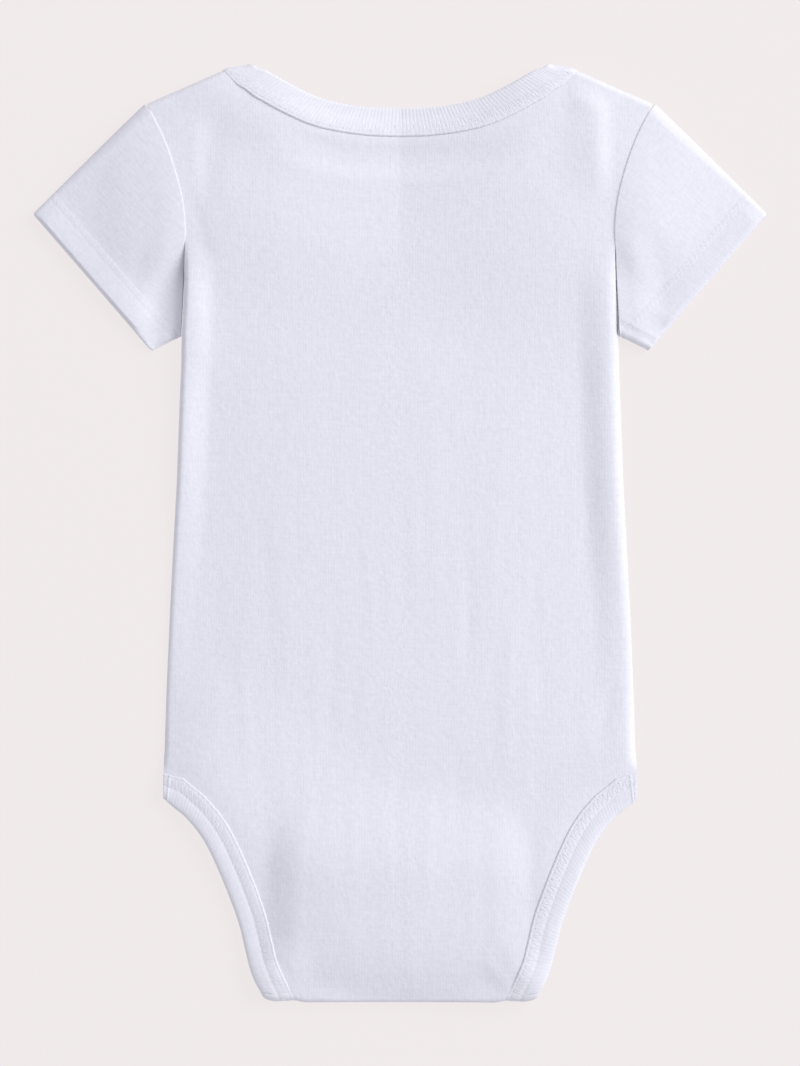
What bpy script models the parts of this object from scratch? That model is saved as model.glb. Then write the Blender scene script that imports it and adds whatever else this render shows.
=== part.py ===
"""A short-sleeved baby onesie, laid flat on a table with its back up.

Frame: metres, +Z up, the table is z = 0 and the neck points to +Y.  The wearer's left is -X.

Every cut piece is a wall of cloth.  Its pattern is flat, in the same x and y as the laid garment,
and runs straight on where the cloth folds: over the shoulders and under at the crotch.  A surface
function lays each pattern point in space, and the wall grows half its thickness to either side.
The bindings are folded strips made from the same edge points as the panels that they wrap.
"""
import math
from collections import namedtuple

import bmesh
import bpy
import numpy as np

# ------------------------------------------------------------------ sizes
MM = 0.001
WALL = 1.0 * MM            # one layer of cloth
GAP = 0.3 * MM             # between pieces that are sewn together
EASE = 0.4 * MM            # more air between layers that only lie on each other
PLY = WALL + GAP           # from the middle of a cloth to the middle of what is sewn round it
LIE = PLY + EASE           # from the middle of a cloth to the middle of one lying on it
REST = WALL / 2            # middle of a cloth that lies on the table
BAND = 12.5 * MM           # width of every binding, from its fold to its sewn edge
BAND_CORE = 0.6 * BAND     # round a binding's centre line, cloth stays level this far
HEM = 13.0 * MM            # depth of the turned sleeve hem

CENTRE_Y = -0.05 * MM      # brings the middle of the whole length to y = 0

CROTCH_Y = -200.0 * MM     # middle of the cloth at the crotch fold
CROTCH_RADIUS = 1.3 * MM   # of that fold between the bindings
FRONT_END_Y = -183.0 * MM  # lower end of the front's tab
ARMPIT_Y = 85.0 * MM
HIP_Y = -103.5 * MM        # sewn edge of the leg bindings at the side seam

SHOULDER = np.array((101.3, 187.0)) * MM                # a point of the shoulder fold
SHOULDER_SLOPE = -0.40
SHOULDER_ALONG = np.array((1.0, SHOULDER_SLOPE)) / math.hypot(1.0, SHOULDER_SLOPE)
SHOULDER_OUT = np.array((-SHOULDER_ALONG[1], SHOULDER_ALONG[0]))
FOLD_RADIUS = 2.2 * MM                                  # where a binding goes over a fold
FOLD_ZONE = 12 * MM                                     # a fold bends nothing further off
SHOULDER_START_X = 48 * MM
TIP = np.array((65.0, 165.0)) * MM                      # the shoulder fold droops above this,
TIP_DROOP = 1.6 * MM                                    # at the neck binding

ROLL = 5.0 * MM            # width of the rounded side of the body
SIDE_RIM = WALL + GAP      # the back's side edge stops just above the front
RIDGE_INSET = 6.0 * MM     # from the side edge in to its ridge
NAP = 0.9 * MM             # air under the middle of the back
ARMPIT_RIDGE = 2.5 * MM    # the underarm end of the armhole seam stands up by this

# How far a layer stays level round what it lies on, and how far it then takes to come down.
Drape = namedtuple("Drape", "margin skirt")
LAP_DRAPE = Drape(0.0, 8 * MM)
TAB_DRAPE = Drape(0.0, 10 * MM)
TAB_COVER = Drape(1.5 * MM, 10 * MM)
TAB_CLIMB = Drape(4 * MM, 12 * MM)
SNAP_CLIMB = Drape(0.0, 8 * MM)
SNAP_COVER = Drape(16 * MM, 18 * MM)
OWN_BAND = Drape(0.0, 11 * MM)
FRONT_DRAPE = Drape(2.5 * MM, 12 * MM)
BACK_DRAPE = Drape(2 * MM, 18 * MM)
RIDGE_DRAPE = Drape(1 * MM, 9 * MM)
ARMPIT_DRAPE = Drape(3 * MM, 13 * MM)
ARMPIT_TURN = Drape(-12 * MM, 12 * MM)
HIP_TURN = Drape(-14 * MM, 14 * MM)
NAP_ACROSS = Drape(40 * MM, 50 * MM)
NAP_ALONG = Drape(60 * MM, 80 * MM)
TIP_DRAPE = Drape(3 * MM, 10 * MM)
TIP_RISE = Drape(0.0, 20 * MM)

SNAP_Y = -170.0 * MM
SNAP_SPACING = 22.0 * MM

Row = namedtuple("Row", "x y")                          # millimetres, on the wearer's right half
Side = namedtuple("Side", "y half ridge")               # body side: half width and edge ridge

# Fold of the back neck binding, from the centre back out to the shoulder fold.
NECK_BACK = [Row(0.0, 182.8), Row(12.0, 183.1), Row(24.0, 184.5), Row(34.6, 187.0),
             Row(44.9, 191.6), Row(52.7, 195.9), Row(58.0, 199.4)]
# The same fold on the front side, down the free edge of the lap to the armhole.
LAP = [Row(64.8, 188.0), Row(66.0, 172.0), Row(70.5, 156.0), Row(80.0, 142.5), Row(91.2, 133.5)]
LAP_SEWN_END = Row(94.6, 147.5)
# Fold of the front neck binding, from the centre front to the armhole under the lap.
NECK_FRONT = [Row(0.0, 146.0), Row(18.0, 147.0), Row(36.0, 151.5), Row(52.0, 159.0),
              Row(64.0, 166.5), Row(76.0, 173.6), Row(88.0, 177.3), Row(97.0, 176.2),
              Row(103.5, 173.6)]
NECK_FRONT_SEWN_END = Row(98.3, 160.6)
# Fold of the back's leg binding, from the side seam down to the crotch fold ...
LEG_BACK = [Row(101.7, -114.2), Row(96.8, -118.5), Row(91.8, -122.6), Row(84.3, -132.2),
            Row(76.8, -148.1), Row(69.6, -166.6), Row(66.0, -179.1), Row(62.5, -190.5)]
# ... and up the edge of the tab inside.
TAB = [Row(50.5, -191.5), Row(45.0, -184.0), Row(42.3, -174.0), Row(42.0, -157.0)]
LEG_FRONT = [Row(101.7, -114.2), Row(90.0, -118.0), Row(78.0, -124.5), Row(66.0, -134.5),
             Row(55.0, -147.5), Row(46.5, -162.0), Row(42.6, -174.0), Row(41.5, -183.0)]
ARMHOLE = [Row(94.0, 85.0), Row(93.2, 100.0), Row(92.4, 117.0), Row(92.4, 127.5),
           Row(93.4, 141.3), Row(96.6, 155.0), Row(101.4, 168.8), Row(106.6, 179.6)]
BODY_SIDE = [Side(-103.5, 101.6, 0.0), Side(-70.0, 100.7, 0.1), Side(-29.0, 98.9, 0.2),
             Side(0.0, 97.4, 0.7), Side(22.0, 96.2, 1.3), Side(50.0, 95.2, 1.4),
             Side(72.0, 94.3, 0.4), Side(85.0, 94.0, 0.0)]

# Columns of every panel half: even ones to the neck tip, then finer towards the side.
NECK_COLUMNS = 7
NECK_SHARE = 0.77
SIDE_COLUMNS = (0.88, 0.94, 0.97, 0.987, 1.0)
FOLD_STEPS = 6
LAP_STEPS = 6
TAB_STEPS = 5
LEG_STEPS = 11
YOKE_STEPS = 9
BODY_STEPS = 8


# ------------------------------------------------------------------ lines
def smooth(rows, steps=8):
    """Points close together on a smooth curve through the rows, in metres."""
    knots = [np.array(row[:2], float) * MM for row in rows]
    knots = [2 * knots[0] - knots[1]] + knots + [2 * knots[-1] - knots[-2]]
    line = []
    for a, b, c, d in zip(knots, knots[1:], knots[2:], knots[3:]):
        for step in range(steps):
            t = step / steps
            line.append(0.5 * (2 * b + (c - a) * t + (2 * a - 5 * b + 4 * c - d) * t ** 2
                               + (3 * b - a - 3 * c + d) * t ** 3))
    line.append(knots[-2])
    return np.array(line)


def places(line):
    """How far along the line each of its points is."""
    return np.concatenate(([0.0], np.cumsum(np.linalg.norm(np.diff(line, axis=0), axis=1))))


def at(line, distances):
    """Points of the line at distances along it."""
    run = places(line)
    return np.column_stack([np.interp(distances, run, line[:, axis]) for axis in (0, 1)])


def spread(line, count):
    """`count` + 1 points at even distances along the whole line."""
    return at(line, np.linspace(0.0, places(line)[-1], count + 1))


def stretch(line, start, end):
    """The part of the line between two distances along it."""
    run = places(line)
    inside = [point for point, place in zip(line, run) if start < place < end]
    return np.array([at(line, [start])[0]] + inside + [at(line, [end])[0]])


def where(line, measure, level):
    """Distance along the line at which `measure` of a point first passes `level`."""
    run = places(line)
    values = [measure(point) for point in line]
    for k in range(len(values) - 1):
        if min(values[k:k + 2]) <= level <= max(values[k:k + 2]) and values[k] != values[k + 1]:
            share = (level - values[k]) / (values[k + 1] - values[k])
            return run[k] + share * (run[k + 1] - run[k])
    raise ValueError("the line never passes that level")


def beside(line, distance):
    """The line moved to its right-hand side, where the cloth of a bound edge lies."""
    run = np.gradient(line, axis=0)
    run /= np.linalg.norm(run, axis=1)[:, None]
    return line + distance * np.column_stack((run[:, 1], -run[:, 0]))


def sewn_edge(free, first, last):
    """The sewn edge of a binding: beside its fold, and from `first` to `last` at its ends."""
    line = beside(free, BAND)
    start = np.argmin(np.linalg.norm(line - first, axis=1))
    end = np.argmin(np.linalg.norm(line - last, axis=1))
    return np.vstack(([first], line[start + 1:end], [last]))


def cut_edge(free, sewn):
    """The panel's raw edge inside a binding, PLY from the fold, station by station."""
    run = np.gradient(free, axis=0)
    run /= np.linalg.norm(run, axis=1)[:, None]
    across = sewn - free
    across /= np.linalg.norm(across, axis=1)[:, None]
    slant = np.abs(run[:, 0] * across[:, 1] - run[:, 1] * across[:, 0])
    return free + across * (PLY / np.maximum(slant, 0.6))[:, None]


def distance(point, line):
    """Shortest distance from a point to a line."""
    a, b = line[:-1], line[1:]
    run = b - a
    square = np.maximum((run ** 2).sum(axis=1), 1e-18)
    share = np.clip(((point - a) * run).sum(axis=1) / square, 0.0, 1.0)
    return float(np.min(np.linalg.norm(a + share[:, None] * run - point, axis=1)))


def outside(point, area):
    """Distance from a point to an area's outline, or 0 inside it."""
    ring = np.vstack((area, area[:1]))
    a, b = ring[:-1], ring[1:]
    spans = (a[:, 1] > point[1]) != (b[:, 1] > point[1])
    with np.errstate(divide="ignore", invalid="ignore"):
        hits = a[:, 0] + (point[1] - a[:, 1]) * (b[:, 0] - a[:, 0]) / (b[:, 1] - a[:, 1])
    if np.count_nonzero(spans & (hits > point[0])) % 2:
        return 0.0
    return distance(point, ring)


def mound(reach, drape):
    """1 up to the drape's margin, easing down to 0 at the end of its skirt."""
    share = min(max((reach - drape.margin) / drape.skirt, 0.0), 1.0)
    return 1.0 - share * share * (3.0 - 2.0 * share)


def highest(*values):
    """The greatest value, with the corners between them rounded upwards."""
    best = values[0]
    for value in values[1:]:
        best = (best + value + math.hypot(best - value, 0.4 * MM)) / 2
    return best


# ------------------------------------------------------------------ folds
def fold_over(reach, radius, top, bottom):
    """Where a cloth lies that folds under at reach 0: its plan reach and its height.

    `top` and `bottom` give the heights of the two layers at a plan reach.
    """
    if reach < -radius:
        return reach, top(reach)
    under = reach - (math.pi - 1) * radius
    if under > 0:
        return -radius - under, bottom(-radius - under)
    turn = (reach + radius) / radius
    high, low = top(-radius), bottom(-radius)
    return radius * (math.sin(turn) - 1), (high + low) / 2 + (high - low) / 2 * math.cos(turn)


def unfolded(reach, radius):
    """The pattern reach of a point that lies at a plan reach on the under layer."""
    return (math.pi - 2) * radius - reach


def shoulder_reach(point):
    return float(np.dot(point - SHOULDER, SHOULDER_OUT))


def lap_pattern(line):
    """Plan points on the lap, moved to where they are in the back's flat pattern."""
    moved = []
    for point in line:
        reach = shoulder_reach(point)
        out = unfolded(reach, FOLD_RADIUS) - reach
        moved.append(point + out * SHOULDER_OUT)
    return np.array(moved)


def tab_pattern(line):
    """Plan points on the back's tab, moved to where they are in the back's flat pattern."""
    moved = []
    for x, y in line:
        reach = CROTCH_Y - y
        moved.append((x, CROTCH_Y - unfolded(reach, FOLD_RADIUS)))
    return np.array(moved)


def crotch_reach(point):
    return CROTCH_Y - point[1]


# ------------------------------------------------------------------ edges of the panels
def metres(row):
    return np.array((row.x, row.y)) * MM


def millimetres(line):
    return [tuple(point / MM) for point in line]


LAP_LINE = smooth(LAP)
NECK_BACK_FREE = smooth([*NECK_BACK, *millimetres(lap_pattern(np.array(
    [metres(row) for row in LAP])))])
NECK_BACK_SEWN = sewn_edge(NECK_BACK_FREE, metres(NECK_BACK[0]) - (0, BAND),
                           lap_pattern([metres(LAP_SEWN_END)])[0])
NECK_FRONT_FREE = smooth(NECK_FRONT)
NECK_FRONT_SEWN = sewn_edge(NECK_FRONT_FREE, metres(NECK_FRONT[0]) - (0, BAND),
                            metres(NECK_FRONT_SEWN_END))
LEG_BACK_FREE = smooth([*LEG_BACK, *millimetres(tab_pattern([metres(row) for row in TAB]))])
LEG_BACK_SEWN = sewn_edge(
    LEG_BACK_FREE, np.array((BODY_SIDE[0].half * MM, HIP_Y)),
    tab_pattern([metres(TAB[-1]) - (BAND, 0)])[0])
LEG_FRONT_FREE = smooth(LEG_FRONT)
LEG_FRONT_SEWN = sewn_edge(LEG_FRONT_FREE, np.array((BODY_SIDE[0].half * MM, HIP_Y)),
                           metres(LEG_FRONT[-1]) - (BAND, 0))
ARMHOLE_LINE = smooth(ARMHOLE)
SIDE_LINE = smooth([(row.half, row.y) for row in BODY_SIDE])

# Centre lines of the bindings as they lie, which lift the cloth round them.
NECK_TIP = SHOULDER - SHOULDER_ALONG * 34 * MM
LAP_BAND = np.vstack(([NECK_TIP], beside(LAP_LINE, -BAND / 2)))
NECK_BACK_BAND = np.vstack((beside(smooth(NECK_BACK), BAND / 2), [NECK_TIP]))
NECK_FRONT_BAND = beside(NECK_FRONT_FREE, BAND / 2)
CROTCH_BAND = metres(Row(47.0, -199.5))                 # where a leg binding goes over the fold
LEG_BACK_BAND = np.vstack((beside(smooth([*LEG_BACK, Row(59.5, -199.0)]), BAND / 2),
                           [CROTCH_BAND]))
LEG_FRONT_BAND = beside(LEG_FRONT_FREE, BAND / 2)
TAB_BAND = np.vstack(([CROTCH_BAND], np.array([(51.0, -199.0), (44.5, -190.0), (38.5, -182.0),
                                               (36.0, -174.0), (35.8, -157.0)]) * MM))
FRONT_AREA = np.vstack((NECK_FRONT_FREE, ARMHOLE_LINE[::-1], SIDE_LINE[::-1], LEG_FRONT_FREE,
                        [(-5 * MM, FRONT_END_Y), (-5 * MM, 146 * MM)]))
LAP_AREA = np.vstack((LAP_LINE, [metres(LAP_SEWN_END)],
                      [point for point in ARMHOLE_LINE if point[1] > 148 * MM],
                      [metres(Row(109.0, 184.0)), metres(Row(64.0, 202.0))]))
TAB_AREA = np.array([(-5.0, -200.0), (58.0, -200.0), (50.5, -191.5), (45.0, -184.0),
                     (42.3, -174.0), (42.0, -150.0), (-5.0, -150.0)]) * MM
ARMPIT_SEAM = np.array([(93.8, 78.0), (93.0, 100.0), (92.4, 122.0)]) * MM


# ------------------------------------------------------------------ heights of the layers
def near(point, line, drape):
    """1 within a binding that lies along the line, easing to 0 outside it."""
    return mound(distance(point, line) - BAND_CORE, drape)


def over(point, area, drape):
    """1 over an area, easing to 0 outside it."""
    return mound(outside(point, area), drape)


def lap_height(point):
    """The lap lies on the table, raised by its binding's lower layer along its free edge."""
    return REST + PLY * near(point, LAP_BAND, LAP_DRAPE)


def front_band(point):
    """1 where the front has a binding or the snaps' caps under it."""
    bands = max(near(point, NECK_FRONT_BAND, OWN_BAND), near(point, LEG_FRONT_BAND, OWN_BAND))
    return max(bands, mound(point[1] - SNAP_Y, SNAP_COVER))


def front_height(point):
    """The front lies on the table, on its own bindings and over the laps."""
    over_band = (PLY + PLY + LIE) * near(point, LAP_BAND, FRONT_DRAPE)
    over_lap = LIE * over(point, LAP_AREA, LAP_DRAPE)
    return REST + PLY * front_band(point) + max(over_band, over_lap)


def tab_height(point):
    """The tab lies on the table by the fold, then climbs over the front's tab and its snaps."""
    band = near(point, TAB_BAND, TAB_DRAPE)
    climb = 1.0 - mound(point[1] - CROTCH_Y, TAB_CLIMB)
    return REST + PLY * max(band, climb) + (PLY + PLY + LIE) * climb


def over_front(point):
    """How high the back lies over the front and the laps."""
    laps = max((PLY + PLY + LIE) * near(point, LAP_BAND, BACK_DRAPE),
               LIE * over(point, LAP_AREA, BACK_DRAPE))
    bands = max(near(point, NECK_FRONT_BAND, BACK_DRAPE), near(point, LEG_FRONT_BAND, BACK_DRAPE))
    return REST + LIE * over(point, FRONT_AREA, BACK_DRAPE) + laps + 2 * PLY * bands


def over_tab(point):
    """How high the back lies over its own tab."""
    snaps = 1.0 - mound(point[1] - FRONT_END_Y, SNAP_CLIMB)
    rise = tab_height(point) - REST + LIE + PLY * max(near(point, TAB_BAND, TAB_DRAPE), snaps)
    return REST + rise * over(point, TAB_AREA, TAB_COVER)


def back_height(point):
    """The back lies over everything else, in wider and softer mounds than the layers below."""
    own = max(near(point, NECK_BACK_BAND, OWN_BAND), near(point, LEG_BACK_BAND, OWN_BAND))
    nap = mound(abs(point[0]), NAP_ACROSS) * mound(abs(point[1]), NAP_ALONG)
    seam = mound(distance(point, ARMPIT_SEAM), ARMPIT_DRAPE)
    return highest(over_front(point), over_tab(point)) + PLY * own + NAP * nap + ARMPIT_RIDGE * seam


# ------------------------------------------------------------------ surfaces
def side_at(y, column):
    rows = [(row.y, row[column]) for row in BODY_SIDE]
    ys, values = zip(*rows)
    return float(np.interp(y / MM, ys, values)) * MM


def side_turn(y):
    """How fully the side is rounded: 1 along the body, 0 at the armpit and at the hip."""
    return mound(y - ARMPIT_Y, ARMPIT_TURN) * mound(HIP_Y - y, HIP_TURN)


def side_edge(y):
    """Half width of the back's pattern at the side seam."""
    return side_at(y, 1) - WALL / 2 * side_turn(y)


def rolled(point, height):
    """The side of the body: a soft ridge inside the edge, then the cloth turns down to the seam."""
    x, y = point
    turned = side_turn(y)
    inset = side_edge(y) - x
    crest = height + turned * side_at(y, 2) * mound(abs(inset - RIDGE_INSET), RIDGE_DRAPE)
    if inset >= ROLL or turned == 0.0:
        return x, crest
    angle = (1.0 - inset / ROLL) * math.pi / 2
    plan = side_edge(y) - ROLL + ROLL * math.sin(angle)
    drop = (crest - SIDE_RIM) * turned
    return x + (plan - x) * turned, crest - drop * (1.0 - math.cos(angle))


def drooped(x, y):
    """How far the end of the shoulder fold hangs below a straight line."""
    return TIP_DROOP * (1.0 - mound(y - TIP[1], TIP_RISE)) * mound(abs(x - TIP[0]), TIP_DRAPE)


def back_surface(x, y):
    """Middle of the back's cloth at a pattern point."""
    point = np.array((abs(x), y))
    reach = shoulder_reach(point)
    fold_reach = crotch_reach(point)
    if reach > -FOLD_ZONE and point[0] > SHOULDER_START_X:
        base = point - reach * SHOULDER_OUT
        plan, z = fold_over(reach, FOLD_RADIUS,
                            lambda r: back_height(base + r * SHOULDER_OUT),
                            lambda r: lap_height(base + r * SHOULDER_OUT))
        px, py = base + plan * SHOULDER_OUT
        py -= drooped(px, py)
    elif fold_reach > -FOLD_ZONE:
        band = near(np.array((point[0], CROTCH_Y)), TAB_BAND, TAB_DRAPE)
        radius = CROTCH_RADIUS + (FOLD_RADIUS - CROTCH_RADIUS) * band
        plan, z = fold_over(fold_reach, radius,
                            lambda r: back_height(np.array((point[0], CROTCH_Y - r))),
                            lambda r: tab_height(np.array((point[0], CROTCH_Y - r))))
        px, py = point[0], CROTCH_Y - plan
    else:
        px, z = rolled(point, back_height(point))
        py = y
    return np.array((math.copysign(px, x), py, z))


def front_surface(x, y):
    """Middle of the front's cloth, which has no fold."""
    return np.array((x, y, front_height(np.array((abs(x), y)))))


def lifted(surface, x, y, *heights):
    """The points that lie at each height out from a surface, over one pattern point."""
    step = 0.05 * MM
    across = surface(x + step, y) - surface(x - step, y)
    along = surface(x, y + step) - surface(x, y - step)
    normal = np.cross(across, along)
    normal /= np.linalg.norm(normal)
    middle = surface(x, y)
    return [middle + height * normal for height in heights]


# ------------------------------------------------------------------ meshes
def new_object(name, vertices, faces, color, roughness, metallic=0.0):
    """An object with outward faces and its own material."""
    mesh = bpy.data.meshes.new(name)
    mesh.from_pydata([(x, y + CENTRE_Y, max(z, 0.0)) for x, y, z in vertices], [], faces)
    bm = bmesh.new()
    bm.from_mesh(mesh)
    bmesh.ops.recalc_face_normals(bm, faces=bm.faces)
    bmesh.ops.triangulate(bm, faces=bm.faces)
    bm.to_mesh(mesh)
    bm.free()
    material = bpy.data.materials.new(name)
    material.use_nodes = True
    shader = material.node_tree.nodes["Principled BSDF"]
    shader.inputs["Base Color"].default_value = (*color, 1.0)
    shader.inputs["Roughness"].default_value = roughness
    shader.inputs["Metallic"].default_value = metallic
    mesh.materials.append(material)
    mesh.shade_smooth()
    mesh.set_sharp_from_angle(angle=math.radians(40))
    piece = bpy.data.objects.new(name, mesh)
    bpy.context.scene.collection.objects.link(piece)
    return piece


JERSEY = ((0.80, 0.80, 0.86), 0.92)
RIB = ((0.82, 0.82, 0.87), 0.94)


class Pattern:
    """A flat piece of cloth as welded quads, on both halves of the garment."""

    def __init__(self):
        self.points = []
        self.index = {}
        self.faces = []

    def vertex(self, x, y):
        key = (round(x / MM, 3) + 0.0, round(y / MM, 3) + 0.0)
        if key not in self.index:
            self.index[key] = len(self.points)
            self.points.append((x, y))
        return self.index[key]

    def add(self, rows):
        """Quads between rows of points that run outwards, each row above the one before."""
        for side in (1, -1):
            for low, high in zip(rows, rows[1:]):
                for k in range(len(low) - 1):
                    corners = [low[k], low[k + 1], high[k + 1], high[k]]
                    face = [self.vertex(side * p[0], p[1]) for p in corners][::side]
                    face = [v for i, v in enumerate(face) if v != face[i - 1]]
                    if len(face) > 2:
                        self.faces.append(face)

    def outline(self):
        """Edges that only one face has, in that face's direction."""
        edges = {(a, b) for face in self.faces for a, b in zip(face, face[1:] + face[:1])}
        return [(a, b) for a, b in edges if (b, a) not in edges]


def cloth(name, pattern, surface):
    """The wall of cloth of a pattern."""
    faces_of_wall = [lifted(surface, x, y, WALL / 2, -WALL / 2) for x, y in pattern.points]
    upper, lower = zip(*faces_of_wall)
    count = len(upper)
    faces = [list(face) for face in pattern.faces]
    faces += [[v + count for v in reversed(face)] for face in pattern.faces]
    faces += [[b, a, a + count, b + count] for a, b in pattern.outline()]
    return new_object(name, [*upper, *lower], faces, *JERSEY)


def binding(name, free, sewn, surface, mirror=False):
    """A strip folded round a panel's edge; `free` is its fold and `sewn` its two raw edges."""
    outer, inner = WALL / 2 + GAP + WALL, WALL / 2 + GAP
    cut = cut_edge(free, sewn)
    side = -1 if mirror else 1
    vertices, faces = [], []
    for fold, edge, seam in zip(free, cut, sewn):
        hollow = fold + (edge - fold) * (WALL / PLY)
        shoulder = fold + (edge - fold) * 0.35
        section = [(seam, outer), (edge, outer), (shoulder, 0.75 * outer), (fold, 0.0),
                   (shoulder, -0.75 * outer), (edge, -outer), (seam, -outer), (seam, -inner),
                   (edge, -inner), (hollow, -0.5 * inner), (hollow, 0.5 * inner),
                   (edge, inner), (seam, inner)]
        for place, height in section:
            vertices += lifted(surface, side * place[0], place[1], height)
    ring = len(section)
    for station in range(len(free) - 1):
        for k in range(ring):
            a, b = station * ring + k, station * ring + (k + 1) % ring
            faces.append([a, b, b + ring, a + ring])
    faces += [list(range(ring)), [v + ring * (len(free) - 1) for v in reversed(range(ring))]]
    return new_object(name, vertices, faces, *RIB)


def mirrored(line):
    """The whole line of an edge that is given on one half, from left to right."""
    other = [(-x, y) for x, y in line[:0:-1]]
    return np.array(other + [tuple(point) for point in line])


# ------------------------------------------------------------------ the back
FOLD_REACHES = np.linspace(-1.25, 2.4, FOLD_STEPS + 1) * FOLD_RADIUS
CROTCH_REACHES = np.linspace(-2.5, 5.0, FOLD_STEPS + 1) * MM


def columns(start, end, shares):
    return [start + (end - start) * share for share in shares]


SHOULDER_SHARES = [0.0] + [(share - NECK_SHARE) / (1 - NECK_SHARE) for share in SIDE_COLUMNS]
COLUMN_SHARES = [NECK_SHARE * k / NECK_COLUMNS for k in range(NECK_COLUMNS)]
COLUMN_SHARES += [NECK_SHARE + (1 - NECK_SHARE) * share for share in SHOULDER_SHARES]


def neck_back_stations():
    """Fold and sewn points of the neck binding on the back: neck, shoulder fold, then lap."""
    pairs = []
    for line in (NECK_BACK_FREE, NECK_BACK_SEWN):
        folds = [where(line, shoulder_reach, reach) for reach in FOLD_REACHES]
        neck = spread(stretch(line, 0.0, folds[0]), NECK_COLUMNS)
        lap = spread(stretch(line, folds[-1], places(line)[-1]), LAP_STEPS)
        pairs.append(np.vstack((neck, at(line, folds[1:-1]), lap)))
    return pairs


def leg_back_stations():
    pairs = []
    for line in (LEG_BACK_FREE, LEG_BACK_SEWN):
        folds = [where(line, crotch_reach, reach) for reach in CROTCH_REACHES]
        leg = spread(stretch(line, 0.0, folds[0]), LEG_STEPS)
        tab = spread(stretch(line, folds[-1], places(line)[-1]), TAB_STEPS)
        pairs.append(np.vstack((leg, at(line, folds[1:-1]), tab)))
    return pairs


def armhole_pattern():
    """The back's armhole, on past the shoulder fold to the end of the lap."""
    top = [point for point in ARMHOLE_LINE if point[1] > 147.5 * MM][::-1]
    beyond = [point for point in lap_pattern(top) if shoulder_reach(point) > 0]
    line = np.vstack((ARMHOLE_LINE, beyond)) - (GAP / 2, 0)
    return np.vstack((line, NECK_BACK_SEWN[-1:]))


def coons(bottom, top, left, right):
    """Rows of points inside four edges; bottom and top run outwards, left and right upwards."""
    rows = []
    for i, (start, end) in enumerate(zip(left, right)):
        v = i / (len(left) - 1)
        row = []
        for j, (low, high) in enumerate(zip(bottom, top)):
            u = COLUMN_SHARES[j]
            edge = (1 - v) * np.array(low) + v * np.array(high)
            start_gap = start - ((1 - v) * np.array(bottom[0]) + v * np.array(top[0]))
            end_gap = end - ((1 - v) * np.array(bottom[-1]) + v * np.array(top[-1]))
            row.append(edge + (1 - u) * start_gap + u * end_gap)
        rows.append(row)
    return rows


def level_row(edge, inset=0.0):
    """A row straight across from the centre line to an edge point."""
    return [np.array((share * (edge[0] - inset), edge[1])) for share in COLUMN_SHARES]


def yoke(top, armhole):
    """Rows from the armpit up to a shaped top edge."""
    bottom = level_row(armhole[0])
    left = [np.array((0.0, y)) for y in np.linspace(ARMPIT_Y, top[0][1], YOKE_STEPS + 1)]
    right = spread(armhole, YOKE_STEPS)
    return coons(bottom, top, left, right)


def side_stations(edge_at, armpit):
    """Points of a panel's side edge, from the hip up to the armpit."""
    ys = np.linspace(HIP_Y, ARMPIT_Y, BODY_STEPS + 1)
    return [np.array((edge_at(y), y)) for y in ys[:-1]] + [armpit]


def build_back():
    free, sewn = neck_back_stations()
    leg_free, leg_sewn = leg_back_stations()
    cut, leg_cut = cut_edge(free, sewn), cut_edge(leg_free, leg_sewn)
    armhole = armhole_pattern()
    folds = [where(armhole, shoulder_reach, reach) for reach in FOLD_REACHES]
    pattern = Pattern()

    neck_top = list(sewn[:NECK_COLUMNS])
    shoulder_top = columns(sewn[NECK_COLUMNS], at(armhole, folds[:1])[0], SHOULDER_SHARES)
    pattern.add(yoke(neck_top + shoulder_top, stretch(armhole, 0.0, folds[0])))

    fold_ends = at(armhole, folds)
    lap_ends = spread(stretch(armhole, folds[-1], places(armhole)[-1]), LAP_STEPS)[1:]
    ends = [*fold_ends, *lap_ends]
    rows = [columns(seam, end, SHOULDER_SHARES) for seam, end in zip(sewn[NECK_COLUMNS:], ends)]
    pattern.add(rows)
    pattern.add([list(sewn), list(cut)])

    sides = side_stations(side_edge, armhole[0])
    pattern.add([level_row(edge) for edge in sides])
    legs = [level_row(seam) for seam in leg_sewn]
    pattern.add(legs[::-1])
    pattern.add([list(leg_cut)[::-1], list(leg_sewn)[::-1]])
    back = cloth("back_panel", pattern, back_surface)
    binding("neck_binding_back", mirrored(free), mirrored(sewn), back_surface)
    binding("leg_binding_back_left", leg_free, leg_sewn, back_surface, mirror=True)
    binding("leg_binding_back_right", leg_free, leg_sewn, back_surface)
    return back


# ------------------------------------------------------------------ the front
def build_front():
    free = spread(NECK_FRONT_FREE, NECK_COLUMNS + 5)
    sewn = spread(NECK_FRONT_SEWN, NECK_COLUMNS + 5)
    leg_free = spread(LEG_FRONT_FREE, LEG_STEPS + 1)
    leg_sewn = spread(LEG_FRONT_SEWN, LEG_STEPS + 1)
    armhole = ARMHOLE_LINE - (GAP / 2, 0)
    armhole = stretch(armhole, 0.0, where(armhole, lambda p: p[1], NECK_FRONT_SEWN_END.y * MM))
    armhole[-1] = sewn[-1]
    pattern = Pattern()
    pattern.add(yoke(list(sewn), armhole))
    sides = side_stations(lambda y: side_at(y, 1), armhole[0])
    pattern.add([level_row(edge) for edge in sides])
    pattern.add([level_row(seam) for seam in leg_sewn][::-1])
    pattern.add([list(sewn), list(cut_edge(free, sewn))])
    pattern.add([list(cut_edge(leg_free, leg_sewn))[::-1], list(leg_sewn)[::-1]])
    front = cloth("front_panel", pattern, front_surface)
    binding("neck_binding_front", mirrored(free), mirrored(sewn), front_surface)
    binding("leg_binding_front_left", leg_free, leg_sewn, front_surface, mirror=True)
    binding("leg_binding_front_right", leg_free, leg_sewn, front_surface)
    return front


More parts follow.
